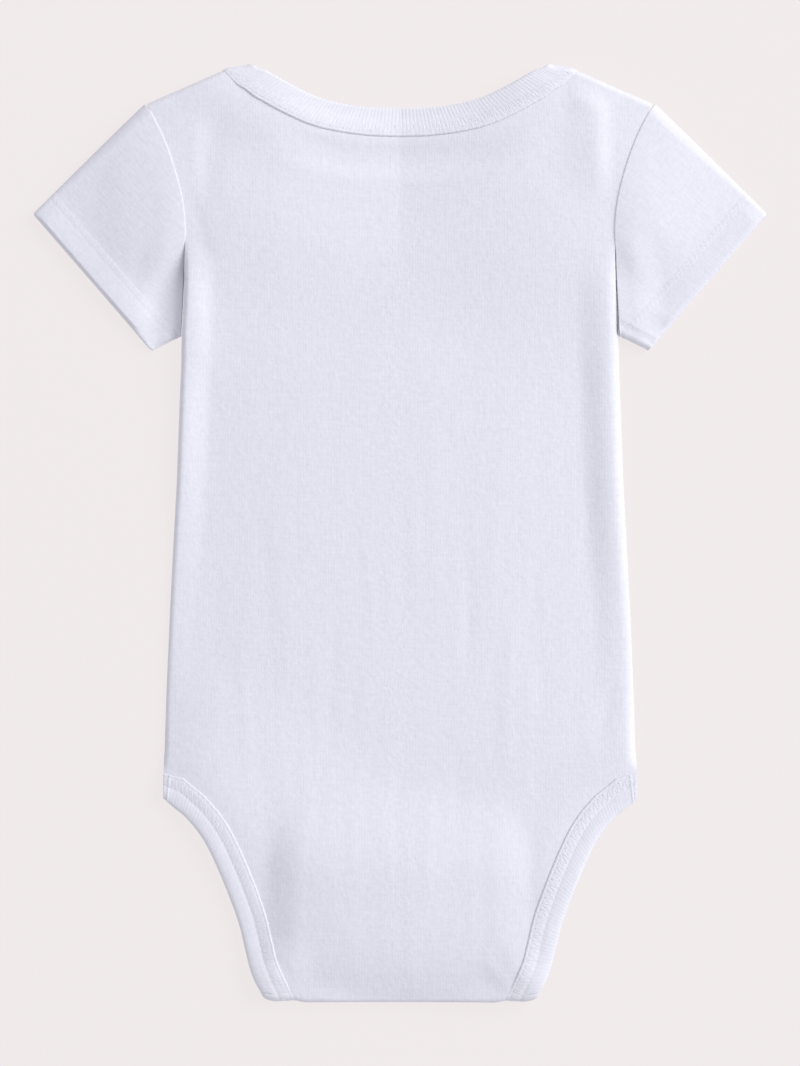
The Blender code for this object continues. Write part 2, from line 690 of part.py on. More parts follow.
# ------------------------------------------------------------------ the sleeves
SLEEVE_STEPS = 5           # rows of the sleeve from the armhole to the hem line
END_STEPS = 5              # points round each folded end of a section
FLAT_STEPS = 8             # points on each flat side of a section
HEM_ROWS = (8.7 * MM, 4.3 * MM, 1.1 * MM)
CUFF_HEIGHT = 5.0 * MM     # middle of the top cloth at the cuff, over the two hems
SEAM_STEP = 0.8 * MM       # the sleeve stands above the body at the armhole seam
PUFF = 1.3 * MM            # more air in the middle of the sleeve
CUFF_LINE = np.array([(157.0, 136.9), (107.0, 78.8)]) * MM
ARMHOLE_EDGE = np.vstack((ARMHOLE_LINE, [metres(Row(109.4, 184.0))]))[::-1] + (GAP, 0)
SLEEVE_SAMPLES = np.linspace(0.0, 1.0, 25)


def sleeve_section(length):
    """The middle of the sleeve's cloth, once round: length 0 is at the armhole, 1 at the cuff.

    The tube lies flat.  A section runs round the shoulder fold, along the top to the underarm,
    round that and back along the table.  `length` may be one value or one for each point.
    """
    count = 2 * (END_STEPS + FLAT_STEPS)
    lengths = np.broadcast_to(length, count)
    points = []
    for k in range(count):
        line, tops = sleeve_line(lengths[k])
        width = places(line)[-1]
        fold, under = [(tops[end] - REST) / 2 for end in (0, -1)]
        turn, step = divmod(k, END_STEPS + FLAT_STEPS)
        if step < END_STEPS:
            angle = math.pi * (step + 0.5) / END_STEPS
            radius = under if turn else fold
            reach = radius * (1 - math.sin(angle))
            place = width - reach if turn else reach
            rise = radius * math.cos(angle)
            z = REST + radius + (rise if turn else -rise)
        else:
            share = (step - END_STEPS + 0.5) / FLAT_STEPS
            place = fold + (width - fold - under) * (1 - share if turn else share)
            z = REST if turn else float(np.interp(place / width, SLEEVE_SAMPLES, tops))
        points.append((*at(line, [place])[0], z))
    return np.array(points)


def sleeve_line(length, cache={}):
    """Plan line of one section from the fold to the underarm, and heights of its top cloth."""
    key = round(float(length), 5)
    if key not in cache:
        armhole = spread(ARMHOLE_EDGE, len(SLEEVE_SAMPLES) - 1)
        cuff = spread(CUFF_LINE, len(SLEEVE_SAMPLES) - 1)
        line = armhole * (1 - length) + cuff * length
        eased = length * length * (3.0 - 2.0 * length)
        start = np.array([back_height(point - (GAP, 0)) + SEAM_STEP for point in armhole])
        puff = PUFF * np.sin(math.pi * SLEEVE_SAMPLES) * math.sin(math.pi * min(length, 1.0))
        cache[key] = line, start * (1 - eased) + CUFF_HEIGHT * eased + puff
    return cache[key]


def sleeve_rows():
    """Rows of the sleeve's cloth as (length for each point, height off its middle)."""
    armhole, _ = sleeve_line(0.0)
    cuff, _ = sleeve_line(1.0)
    reach = np.linalg.norm(cuff - armhole, axis=1)
    top = [np.interp((k + 0.5) / FLAT_STEPS, SLEEVE_SAMPLES, reach) for k in range(FLAT_STEPS)]
    around = np.array([reach[0]] * END_STEPS + top + [reach[-1]] * END_STEPS + top[::-1])
    hem_line = 1.0 - HEM / around
    half = WALL / 2
    body = [hem_line * k / SLEEVE_STEPS for k in range(SLEEVE_STEPS + 1)]
    hem = [1.0 - row / around for row in HEM_ROWS]
    edge = [1.0 - 0.3 * HEM_ROWS[-1] / around, np.ones_like(around)]
    inside = -half - GAP - WALL
    middle = (half + inside) / 2
    rows = [(row, half) for row in body + hem]
    rows += [(edge[0], (half + middle) / 2), (edge[1], middle), (edge[0], (inside + middle) / 2)]
    rows += [(row, inside) for row in hem[::-1] + [hem_line]]
    rows += [(row, -half - GAP) for row in [hem_line] + hem]
    rows += [(row, -half) for row in (body + hem)[::-1]]
    return rows


def build_sleeves():
    """Two tubes of cloth with the hem turned in at the cuff."""
    step = 0.004
    vertices = []
    rows = sleeve_rows()
    for length, height in rows:
        middle = sleeve_section(length)
        along = sleeve_section(length + step) - sleeve_section(length - step)
        around = np.roll(middle, -1, axis=0) - np.roll(middle, 1, axis=0)
        normal = np.cross(around, along)
        normal /= np.linalg.norm(normal, axis=1)[:, None]
        vertices += list(middle + height * normal)
    ring = len(vertices) // len(rows)
    faces = []
    for row in range(len(rows)):
        below, above = row * ring, (row + 1) % len(rows) * ring
        for k in range(ring):
            after = (k + 1) % ring
            faces.append([below + k, below + after, above + after, above + k])
    for name, side in (("sleeve_left", -1), ("sleeve_right", 1)):
        new_object(name, [vertex * (side, 1, 1) for vertex in vertices], faces, *JERSEY)


# ------------------------------------------------------------------ the snaps
Ring = namedtuple("Ring", "radius z")                   # millimetres, a turned profile
SOCKET = [Ring(0.0, 0.0), Ring(4.4, 0.0), Ring(4.8, 0.3), Ring(4.7, 0.8), Ring(4.3, 1.0),
          Ring(1.9, 1.0), Ring(1.9, 2.6), Ring(4.4, 2.6), Ring(4.6, 2.9), Ring(4.4, 3.9),
          Ring(2.6, 3.9), Ring(2.1, 3.6), Ring(2.1, 2.9), Ring(0.0, 2.9)]
STUD = [Ring(0.0, 3.2), Ring(1.4, 3.2), Ring(1.7, 3.5), Ring(1.6, 4.2), Ring(4.4, 4.2),
        Ring(4.6, 4.6), Ring(4.4, 5.2), Ring(1.9, 5.2), Ring(1.9, 6.8), Ring(4.4, 6.8),
        Ring(4.8, 7.2), Ring(4.5, 7.8), Ring(0.0, 7.8)]
POST_HOLE = 2.2 * MM
SNAP_SIDES = 12
METAL = ((0.72, 0.73, 0.75), 0.35, 1.0)


def turned(name, x, profile):
    """A solid turned about an upright axis at (x, SNAP_Y); both profile ends are on the axis."""
    vertices = [(x, SNAP_Y, profile[0].z * MM), (x, SNAP_Y, profile[-1].z * MM)]
    for ring in profile[1:-1]:
        for k in range(SNAP_SIDES):
            angle = 2 * math.pi * k / SNAP_SIDES
            vertices.append((x + ring.radius * MM * math.cos(angle),
                             SNAP_Y + ring.radius * MM * math.sin(angle), ring.z * MM))
    faces = []
    last = 2 + SNAP_SIDES * (len(profile) - 3)
    for k in range(SNAP_SIDES):
        after = (k + 1) % SNAP_SIDES
        faces += [[0, 2 + after, 2 + k], [1, last + k, last + after]]
        for row in range(2, last, SNAP_SIDES):
            faces.append([row + k, row + after, row + after + SNAP_SIDES, row + k + SNAP_SIDES])
    return new_object(name, vertices, faces, *METAL)


def post_hole(panel, x, low, high):
    """A round hole for a snap's post through one layer of a panel."""
    bpy.ops.mesh.primitive_cylinder_add(
        vertices=SNAP_SIDES, radius=POST_HOLE, depth=high - low,
        location=(x, SNAP_Y + CENTRE_Y, (low + high) / 2))
    cutter = bpy.context.object
    cutter.hide_render = True
    cutter.display_type = "WIRE"
    hole = panel.modifiers.new("post_hole", "BOOLEAN")
    hole.operation = "DIFFERENCE"
    hole.solver = "EXACT"
    hole.object = cutter


def build_snaps(front, back):
    """Three snaps across the crotch tabs, fastened."""
    for k in range(3):
        x = (k - 1) * SNAP_SPACING
        turned(f"snap_socket_{k + 1}", x, SOCKET)
        turned(f"snap_stud_{k + 1}", x, STUD)
        post_hole(front, x, 1.0 * MM, 2.6 * MM)
        post_hole(back, x, 5.2 * MM, 6.8 * MM)


def main():
    for thing in list(bpy.data.objects):
        bpy.data.objects.remove(thing, do_unlink=True)
    back = build_back()
    front = build_front()
    build_sleeves()
    build_snaps(front, back)


main()
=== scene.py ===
"""A short-sleeved rib-knit baby onesie, laid flat with its back up.

All sizes are in millimetres: +X towards the wearer's right, +Y towards the neck, +Z up from the
table at z = 0.  make_piece() turns them into metres once.

Every piece is cut as a flat pattern and then laid: a surface function gives the middle of its
cloth at a pattern point, over the shoulder folds and under at the crotch.
"""
import math
from collections import namedtuple

import bpy
import numpy as np
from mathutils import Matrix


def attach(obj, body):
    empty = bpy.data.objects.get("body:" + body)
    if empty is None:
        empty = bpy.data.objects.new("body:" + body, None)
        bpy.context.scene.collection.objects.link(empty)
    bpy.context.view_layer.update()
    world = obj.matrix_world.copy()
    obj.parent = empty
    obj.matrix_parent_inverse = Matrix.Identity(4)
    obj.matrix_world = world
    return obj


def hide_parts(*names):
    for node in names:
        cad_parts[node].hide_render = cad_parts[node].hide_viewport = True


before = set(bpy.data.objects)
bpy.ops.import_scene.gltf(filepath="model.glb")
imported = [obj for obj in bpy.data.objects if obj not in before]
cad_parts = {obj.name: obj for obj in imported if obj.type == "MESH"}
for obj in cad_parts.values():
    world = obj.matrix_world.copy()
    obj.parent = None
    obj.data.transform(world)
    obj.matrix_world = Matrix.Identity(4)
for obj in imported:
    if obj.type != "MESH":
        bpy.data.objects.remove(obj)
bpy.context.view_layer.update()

# ------------------------------------------------------------------ sizes
MM = 0.001
CENTRE_Y = -0.05           # brings the middle of the whole length to y = 0
CLOTH = 0.9                # thickness of the jersey
WALL = 1.0                 # room that one layer takes
GAP = 0.3                  # between pieces that are sewn together
PLY = WALL + GAP           # from the middle of a cloth to the middle of what is sewn round it
LIE = PLY + 0.4            # from the middle of a cloth to the middle of one lying on it
REST = WALL / 2            # middle of a cloth that lies on the table
BAND = 12.5                # width of every binding, from its fold to its sewn edge
BAND_CORE = 0.6 * BAND     # round a binding's centre line, cloth stays level this far
HEM = 13.3                 # depth of the turned sleeve hem

CROTCH_Y = -200.0          # middle of the cloth at the crotch fold
CROTCH_RADIUS = 1.3
FRONT_END_Y = -183.0       # lower end of the front's tab
ARMPIT_Y = 85.0
HIP_Y = -103.5             # sewn edge of the leg bindings at the side seam

SHOULDER = np.array((101.3, 187.2))                     # a point of the shoulder fold
SHOULDER_SLOPE = -0.43
SHOULDER_ALONG = np.array((1.0, SHOULDER_SLOPE)) / math.hypot(1.0, SHOULDER_SLOPE)
SHOULDER_OUT = np.array((-SHOULDER_ALONG[1], SHOULDER_ALONG[0]))
SHOULDER_START_X = 48.0
FOLD_RADIUS = 2.2          # where a binding goes over a fold
FOLD_ZONE = 12.0           # a fold bends nothing further off
TIP = np.array((64.5, 165.0))                           # the shoulder fold droops above this,
TIP_DROOP = 2.8                                         # at the neck binding

LEFT_ROLL, RIGHT_ROLL = 1.7, 4.0        # width of the rounded side of the body
LEFT_RIDGE, RIGHT_RIDGE = 1.0, 4.2      # from the side edge in to its ridge
LEFT_SLOPE, RIGHT_SLOPE = 12.5, 13.5    # and from there in to where the cloth is level
NAP = 0.9                  # air under the middle of the back
CROTCH_BULGE = 1.3         # the cloth between the leg bindings folds this much further out
CORNER_PULL = 1.8          # and the outer corners of the bindings this much further in
COVER_FOLD = 2.6           # rise of the back over the tab at the crotch fold
COVER_BAND = 2.3           # and this much more where the bindings go over the fold
COVER_TOP = 8.9            # and over the fastened snaps
COVER_REACH = 38.0         # from that fold to its full height
ROUNDING = 1.2             # where one mound goes over into another

# How far a layer stays level round what it lies on, and how far it then takes to come down.
Drape = namedtuple("Drape", "margin skirt")
LAP_DRAPE = Drape(0.0, 8.0)
TAB_DRAPE = Drape(0.0, 10.0)
COVER_SIDE = Drape(-1.0, 36.0)
BAND_START = Drape(36.0, 11.0)
COVER_END = Drape(2.0, 58.0)
TAB_CLIMB = Drape(8.0, 10.0)
SNAP_COVER = Drape(16.0, 18.0)
OWN_BAND = Drape(0.0, 24.0)
FRONT_DRAPE = Drape(2.5, 12.0)
BACK_DRAPE = Drape(6.0, 48.0)
LAP_SPREAD = Drape(6.0, 78.0)
RIDGE_DRAPE = Drape(0.04, 0.96)
RIDGE_FRONT = 9.0
ARMPIT_TURN = Drape(18.0, 24.0)
SEAM_RISE = Drape(24.0, 20.0)
HIP_TURN = Drape(-14.0, 14.0)
NAP_ACROSS = Drape(40.0, 50.0)
NAP_ALONG = Drape(60.0, 80.0)
TIP_DRAPE = Drape(1.0, 9.5)
TIP_RISE = Drape(0.0, 20.0)
TIP_START = Drape(0.0, 10.0)
CROTCH_DRAPE = Drape(0.0, 8.0)
BULGE_ACROSS = Drape(40.0, 8.0)
PULL_ACROSS = Drape(50.0, 14.0)
PRESS = Drape(3.0, 8.0)
RELIEF_EDGE = Drape(-10.0, 9.0)
STREAK_TOP = Drape(20.0, 60.0)

SNAP_Y = -170.0
SNAP_SPACING = 22.0

# Fold of the back neck binding, from the centre back out to the shoulder fold.
NECK_BACK = [(0.0, 182.8), (12.0, 183.1), (24.0, 184.5), (34.6, 187.0), (44.9, 191.6),
             (52.7, 195.9), (58.0, 199.4)]
# The same fold on the front side, down the free edge of the lap to the armhole.
LAP = [(64.8, 188.0), (66.0, 172.0), (70.5, 156.0), (80.0, 142.5), (91.2, 133.5)]
LAP_SEWN_END = (94.6, 147.5)
# Fold of the front neck binding, from the centre front to the armhole under the lap.
NECK_FRONT = [(0.0, 146.0), (18.0, 147.0), (36.0, 151.5), (52.0, 159.0), (64.0, 166.5),
              (76.0, 173.6), (88.0, 177.3), (97.0, 176.2), (103.5, 173.6)]
NECK_FRONT_SEWN_END = (98.3, 160.6)
# Fold of the back's leg binding, from the side seam down to the crotch fold ...
LEG_BACK = [(101.7, -114.2), (96.8, -118.5), (91.8, -122.6), (84.3, -132.2), (76.8, -148.1),
            (69.8, -166.6), (66.6, -179.1), (63.3, -190.5)]
# ... and up the edge of the tab inside.
TAB = [(53.6, -191.5), (47.0, -184.5), (42.8, -174.0), (42.0, -157.0)]
LEG_FRONT = [(101.7, -114.2), (90.0, -118.0), (78.0, -124.5), (66.0, -134.5), (55.0, -147.5),
             (46.5, -162.0), (42.6, -174.0), (41.5, -183.0)]
ARMHOLE = [(94.0, 85.0), (93.2, 100.0), (92.4, 117.0), (92.4, 127.5), (93.4, 141.3),
           (96.6, 155.0), (101.4, 168.8), (106.6, 179.6)]
# The body's sides from the hip up past the armpit: y and half width, then for the left and for
# the right how high the ridge beside the edge stands and the height that the edge comes down to.
Sides = namedtuple("Sides", "y half left_ridge left_edge right_ridge right_edge")
BODY_SIDE = Sides(*np.array([
    (-103.5, 101.6, 0.0, 1.0, 0.0, 1.0), (-70.0, 100.7, 0.1, 1.0, 0.3, 1.0),
    (-29.0, 98.9, 0.4, 1.0, 1.2, 1.0), (0.0, 97.4, 1.1, 1.0, 2.2, 1.0),
    (22.0, 96.2, 2.0, 1.0, 2.7, 1.0), (50.0, 95.2, 2.6, 1.0, 2.5, 1.0),
    (72.0, 94.3, 2.8, 1.0, 2.1, 1.5), (85.0, 94.0, 2.9, 1.6, 1.7, 3.0),
    (100.0, 93.2, 2.9, 2.5, 1.3, 4.6), (117.0, 92.4, 2.2, 3.4, 0.8, 5.4),
    (127.5, 92.4, 1.2, 4.4, 0.4, 5.8), (141.0, 93.4, 0.0, 5.0, 0.0, 6.0)
]).T)
CUFF_LINE = np.array([(157.8, 137.0), (107.2, 78.6)])
CUFF_HEIGHT = 3.9          # middle of the top cloth at the cuff, over the two hems
SEAM_STEP = 0.5            # the sleeve stands above the body at the armhole seam
LEFT_DIP, RIGHT_DIP = 1.9, 5.8         # middle of the sleeve's top cloth at the underarm
PUFF = 1.0                 # more air in the middle of the sleeve

# Knit and sewing.
WALE_PITCH = 1.2           # from rib to rib of the jersey
RIB_PITCH = 1.45           # from rib to rib of the bindings
Ribbing = namedtuple("Ribbing", "ribs evenness")
NECK = Ribbing(0.06, 1.0)  # height of a binding's ribs, and how even its thickness is
LEG = Ribbing(0.035, 0.2)
STITCH = 2.4               # length of one stitch
THREAD_RADIUS = 0.15
NEEDLE_ROWS = (7.0, 11.5)  # from a binding's fold
JOIN = 2.3                 # a leg binding is joined to the front's this far from its end
HEM_NEEDLES = (10.3, 13.3)  # from the sleeve's cuff

# Grid of the cloth: columns from the centre to the side, finer towards it.
NECK_COLUMNS = 58
NECK_SHARE = 0.77
SIDE_COLUMNS = 24
BODY_ROWS = 120
YOKE_ROWS = 62
LEG_ROWS = 60
FOLD_ROWS = 16
LAP_ROWS = 34
TAB_ROWS = 26
SIDE_SHARES = 1 - (1 - np.linspace(0, 1, SIDE_COLUMNS + 1)) ** 1.6
COLUMN_SHARES = np.concatenate((
    np.arange(NECK_COLUMNS) / NECK_COLUMNS * NECK_SHARE,
    NECK_SHARE + (1 - NECK_SHARE) * SIDE_SHARES))


# ------------------------------------------------------------------ lines
def smooth(rows, steps=8):
    """Points close together on a smooth curve through the rows."""
    knots = [np.array(row[:2], float) for row in rows]
    knots = [2 * knots[0] - knots[1]] + knots + [2 * knots[-1] - knots[-2]]
    line = []
    for a, b, c, d in zip(knots, knots[1:], knots[2:], knots[3:]):
        for step in range(steps):
            t = step / steps
            line.append(0.5 * (2 * b + (c - a) * t + (2 * a - 5 * b + 4 * c - d) * t ** 2
                               + (3 * b - a - 3 * c + d) * t ** 3))
    line.append(knots[-2])
    return np.array(line)


def places(line):
    """How far along the line each of its points is."""
    return np.concatenate(([0.0], np.cumsum(np.linalg.norm(np.diff(line, axis=0), axis=1))))


def at(line, distances):
    """Points of the line at distances along it."""
    run = places(line)
    return np.column_stack([np.interp(distances, run, column) for column in line.T])


def spread(line, count):
    """`count` + 1 points at even distances along the whole line."""
    return at(line, np.linspace(0.0, places(line)[-1], count + 1))


def stretch(line, start, end):
    """The part of the line between two distances along it."""
    run = places(line)
    inside = line[(run > start + 1e-6) & (run < end - 1e-6)]
    return np.vstack((at(line, [start]), inside, at(line, [end])))


def where(line, values, level):
    """Distance along the line at which its points' values first pass `level`."""
    run = places(line)
    low = np.minimum(values[:-1], values[1:])
    high = np.maximum(values[:-1], values[1:])
    k = np.argmax((low <= level) & (level <= high) & (low < high))
    share = (level - values[k]) / (values[k + 1] - values[k])
    return run[k] + share * (run[k + 1] - run[k])


def beside(line, distance):
    """The line moved to its right-hand side, where the cloth of a bound edge lies."""
    run = np.gradient(line, axis=0)
    run /= np.linalg.norm(run, axis=1)[:, None]
    return line + distance * np.column_stack((run[:, 1], -run[:, 0]))


def sewn_edge(free, first, last):
    """The sewn edge of a binding: beside its fold, and from `first` to `last` at its ends."""
    line = beside(free, BAND)
    start = np.argmin(np.linalg.norm(line - first, axis=1))
    end = np.argmin(np.linalg.norm(line - last, axis=1))
    return np.vstack(([first], line[start + 1:end], [last]))


def cut_edge(free, sewn):
    """The panel's raw edge inside a binding, PLY from the fold."""
    return free + (sewn - free) * (PLY / BAND)


def mirrored(line):
    """The whole line of an edge that is given on one half, from left to right."""
    return np.vstack((line[:0:-1] * (-1, 1), line))


def distance(points, line):
    """Shortest distance from each point to a line."""
    best = np.full(len(points), np.inf)
    for start, run in zip(line[:-1], np.diff(line, axis=0)):
        square = max(float(run @ run), 1e-12)
        share = np.clip((points - start) @ run / square, 0.0, 1.0)
        gap = points - start - share[:, None] * run
        best = np.minimum(best, (gap ** 2).sum(axis=1))
    return np.sqrt(best)


def outside(points, area):
    """Distance from each point to an area's outline, or 0 inside it."""
    ring = np.vstack((area, area[:1]))
    crossings = np.zeros(len(points), int)
    for a, b in zip(ring[:-1], ring[1:]):
        if a[1] == b[1]:
            continue
        spans = (a[1] > points[:, 1]) != (b[1] > points[:, 1])
        hits = a[0] + (points[:, 1] - a[1]) * (b[0] - a[0]) / (b[1] - a[1])
        crossings += spans & (hits > points[:, 0])
    return np.where(crossings % 2 == 1, 0.0, distance(points, ring))


def halved(points):
    """Points of either half, moved to the wearer's right half."""
    return np.column_stack((np.abs(points[:, 0]), points[:, 1]))


def eased(share):
    """A share from 0 to 1 that starts and ends gently."""
    share = np.clip(share, 0.0, 1.0)
    return share * share * (3.0 - 2.0 * share)


def mound(reach, drape):
    """1 up to the drape's margin, easing down to 0 at the end of its skirt."""
    return 1.0 - eased((reach - drape.margin) / drape.skirt)


def highest(first, second):
    """The greater value, with the corner between the two rounded upwards."""
    return (first + second + np.hypot(first - second, ROUNDING)) / 2


# ------------------------------------------------------------------ folds
def fold_over(reach, radius, top, bottom):
    """Where a cloth lies that folds under at reach 0: its plan reach and its height.

    `top` and `bottom` give the heights of the two layers at a plan reach.
    """
    under = np.maximum(reach - (math.pi - 1) * radius, 0.0)
    turn = np.clip((reach + radius) / radius, 0.0, math.pi)
    high = top(np.minimum(reach, -radius))
    low = bottom(-radius - under)
    bent = radius * (np.sin(turn) - 1) - under
    plan = np.where(reach < -radius, reach, bent)
    return plan, (high + low) / 2 + (high - low) / 2 * np.cos(turn)


def unfolded(reach, radius):
    """The pattern reach of a point that lies at a plan reach on the under layer."""
    return (math.pi - 2) * radius - reach


def shoulder_reach(points):
    return (points - SHOULDER) @ SHOULDER_OUT


def lap_pattern(line):
    """Plan points on the lap, moved to where they are in the back's flat pattern."""
    line = np.array(line, float)
    reach = shoulder_reach(line)
    out = unfolded(reach, FOLD_RADIUS) - reach
    return line + out[:, None] * SHOULDER_OUT


def tab_pattern(line):
    """Plan points on the back's tab, moved to where they are in the back's flat pattern."""
    line = np.array(line, float)
    reach = CROTCH_Y - line[:, 1]
    return np.column_stack((line[:, 0], CROTCH_Y - unfolded(reach, FOLD_RADIUS)))


# ------------------------------------------------------------------ edges of the panels
LAP_LINE = smooth(LAP)
NECK_BACK_FREE = smooth([*NECK_BACK, *lap_pattern(LAP)])
NECK_BACK_SEWN = sewn_edge(NECK_BACK_FREE, np.array(NECK_BACK[0]) - (0, BAND),
                           lap_pattern([LAP_SEWN_END])[0])
NECK_FRONT_FREE = smooth(NECK_FRONT)
NECK_FRONT_SEWN = sewn_edge(NECK_FRONT_FREE, np.array(NECK_FRONT[0]) - (0, BAND),
                            np.array(NECK_FRONT_SEWN_END))
NECK_ARC = NECK_BACK_SEWN[NECK_BACK_SEWN[:, 0] < 60]
HIP_POINT = np.array((BODY_SIDE.half[0], HIP_Y))
LEG_BACK_FREE = smooth([*LEG_BACK, *tab_pattern(TAB)])
LEG_BACK_SEWN = sewn_edge(LEG_BACK_FREE, HIP_POINT,
                          tab_pattern([(TAB[-1][0] - BAND, TAB[-1][1])])[0])
LEG_FRONT_FREE = smooth(LEG_FRONT)
LEG_FRONT_SEWN = sewn_edge(LEG_FRONT_FREE, HIP_POINT, np.array(LEG_FRONT[-1]) - (BAND, 0))
ARMHOLE_LINE = smooth(ARMHOLE)
SIDE_LINE = smooth([(half, y) for y, half in zip(BODY_SIDE.y, BODY_SIDE.half) if y <= ARMPIT_Y])

# Centre lines of the bindings as they lie, which lift the cloth round them.
NECK_TIP = SHOULDER - SHOULDER_ALONG * 34               # where it goes over the shoulder fold
LAP_BAND = np.vstack(([NECK_TIP], beside(LAP_LINE, -BAND / 2)))
NECK_BACK_BAND = np.vstack((beside(smooth(NECK_BACK), BAND / 2), [NECK_TIP]))
NECK_FRONT_BAND = beside(NECK_FRONT_FREE, BAND / 2)
CROTCH_BAND = np.array((47.0, -199.5))                  # where a leg binding goes over the fold
LEG_BACK_BAND = np.vstack((beside(smooth([*LEG_BACK, (59.5, -199.0)]), BAND / 2),
                           [CROTCH_BAND]))
LEG_FRONT_BAND = beside(LEG_FRONT_FREE, BAND / 2)
# The back's leg binding and straight on past the fold; the left side comes down towards it.
LEG_LOWER = np.vstack((LEG_BACK_BAND[LEG_BACK_BAND[:, 1] > -188.0], [(54.0, -212.0)]))
TAB_BAND = np.array([CROTCH_BAND, (52.0, -199.0), (47.0, -190.0), (40.0, -182.0),
                     (36.5, -174.0), (35.8, -157.0)])
FRONT_AREA = np.vstack((NECK_FRONT_FREE, ARMHOLE_LINE[::-1], SIDE_LINE[::-1], LEG_FRONT_FREE,
                        [(-5, FRONT_END_Y), (-5, NECK_FRONT[0][1])]))
LAP_AREA = np.vstack((LAP_LINE, [LAP_SEWN_END], ARMHOLE_LINE[ARMHOLE_LINE[:, 1] > 148],
                      [(109.0, 184.0), (64.0, 202.0)]))
# Side edge of the tab under the back: y and half width.
TAB_SIDE = np.array([(-200.0, 58.0), (-191.5, 53.0), (-184.0, 47.0), (-174.0, 43.0),
                     (-150.0, 42.0)])


# ------------------------------------------------------------------ heights of the layers
def near(points, line, drape):
    """1 within a binding that lies along the line, easing to 0 outside it."""
    return mound(distance(points, line) - BAND_CORE, drape)


def over(points, area, drape):
    """1 over an area, easing to 0 outside it."""
    return mound(outside(points, area), drape)


def lap_height(points):
    """The lap lies on the table, raised by its binding's lower layer along its free edge."""
    return REST + PLY * near(points, LAP_BAND, LAP_DRAPE)


def front_height(points):
    """The front lies on the table, on its own bindings, on the snaps' caps and over the laps."""
    bands = np.maximum(near(points, NECK_FRONT_BAND, OWN_BAND),
                       near(points, LEG_FRONT_BAND, OWN_BAND))
    own = np.maximum(bands, mound(points[:, 1] - SNAP_Y, SNAP_COVER))
    over_band = (PLY + PLY + LIE) * near(points, LAP_BAND, FRONT_DRAPE)
    over_lap = LIE * over(points, LAP_AREA, LAP_DRAPE)
    return REST + PLY * own + np.maximum(over_band, over_lap)


def tab_height(points):
    """The tab lies on the table by the fold, then climbs over the front's tab and its snaps."""
    band = near(points, TAB_BAND, TAB_DRAPE)
    climb = 1.0 - mound(points[:, 1] - CROTCH_Y, TAB_CLIMB)
    return REST + PLY * np.maximum(band, climb) + (PLY + PLY + LIE) * climb


def over_front(points):
    """How high the back lies over the front and the laps."""
    laps = np.maximum((PLY + PLY + LIE) * near(points, LAP_BAND, LAP_SPREAD),
                      LIE * over(points, LAP_AREA, LAP_SPREAD))
    bands = np.maximum(near(points, NECK_FRONT_BAND, BACK_DRAPE),
                       near(points, LEG_FRONT_BAND, BACK_DRAPE))
    return REST + LIE * over(points, FRONT_AREA, BACK_DRAPE) + laps + 2 * PLY * bands


def over_tab(points):
    """How high the back lies over its own tab: it climbs from the fold to the snaps' height."""
    x, y = points.T
    climb = 1.0 - (1.0 - np.clip((y - CROTCH_Y) / COVER_REACH, 0.0, 1.0)) ** 3
    fold = COVER_FOLD + COVER_BAND * (1.0 - mound(x, BAND_START))
    aside = x - np.interp(y, TAB_SIDE[:, 0], TAB_SIDE[:, 1])
    cover = mound(aside, COVER_SIDE) * mound(y - TAB_SIDE[-1, 0], COVER_END)
    return REST + (fold + (COVER_TOP - fold) * climb) * cover


def back_height(points):
    """The back lies over everything else, in wider and softer mounds than the layers below."""
    own = np.maximum(near(points, NECK_BACK_BAND, OWN_BAND),
                     near(points, LEG_BACK_BAND, OWN_BAND))
    nap = mound(np.abs(points[:, 0]), NAP_ACROSS) * mound(np.abs(points[:, 1]), NAP_ALONG)
    return highest(over_front(points) + PLY * own, over_tab(points)) + NAP * nap


# ------------------------------------------------------------------ creases
# A soft ridge from one point to another, or a trough where the depth is below zero.
Crease = namedtuple("Crease", "x0 y0 x1 y1 width depth")
CREASE_BOW = 0.018         # how far a crease sways, as a share of its length
CREASE_TURN = 4.0          # and how much of a wave it makes, in radians
CREASE_END = 0.35          # the share of its length in which each end fades out
BACK_CREASES = [
    Crease(-58, 20, -56, -80, 6, -0.15), Crease(-30, -10, -28, -110, 6, -0.14),
    Crease(0, 25, 1, -50, 7, -0.12), Crease(2, -70, -1, -150, 6, -0.16),
    Crease(30, 20, 27, -70, 5, -0.14), Crease(60, 10, 61, -95, 6, -0.14),
    Crease(-70, -30, -66, -120, 5, 0.14), Crease(-14, 20, -12, -90, 5, 0.12),
    Crease(45, -20, 48, -120, 6, 0.14), Crease(15, -100, 12, -165, 5, 0.14),
    Crease(80, 206, 90, 138, 25, 1.6), Crease(68, 204, 73, 172, 9, -0.45),
    Crease(-76, 190, -92, 128, 13, -0.55), Crease(-92, 182, -84, 130, 9, 0.35),
    Crease(-92, 145, -80, 112, 8, -0.5), Crease(-96, 118, -82, 58, 16, 0.7),
    Crease(-62, -178, -40, -198, 7, -0.3), Crease(34, -182, 50, -197, 5, 0.35),
    Crease(90, -60, 86, -100, 7, -0.2),
]
FRONT_CREASES = [
    Crease(-52, 60, -44, -70, 8, 0.35), Crease(18, 90, 30, -30, 7, 0.3),
    Crease(62, -10, 54, -100, 9, 0.35), Crease(-20, -60, -10, -140, 7, 0.3),
    Crease(-70, 120, -46, 70, 10, 0.3), Crease(74, 110, 60, 40, 9, 0.3),
]
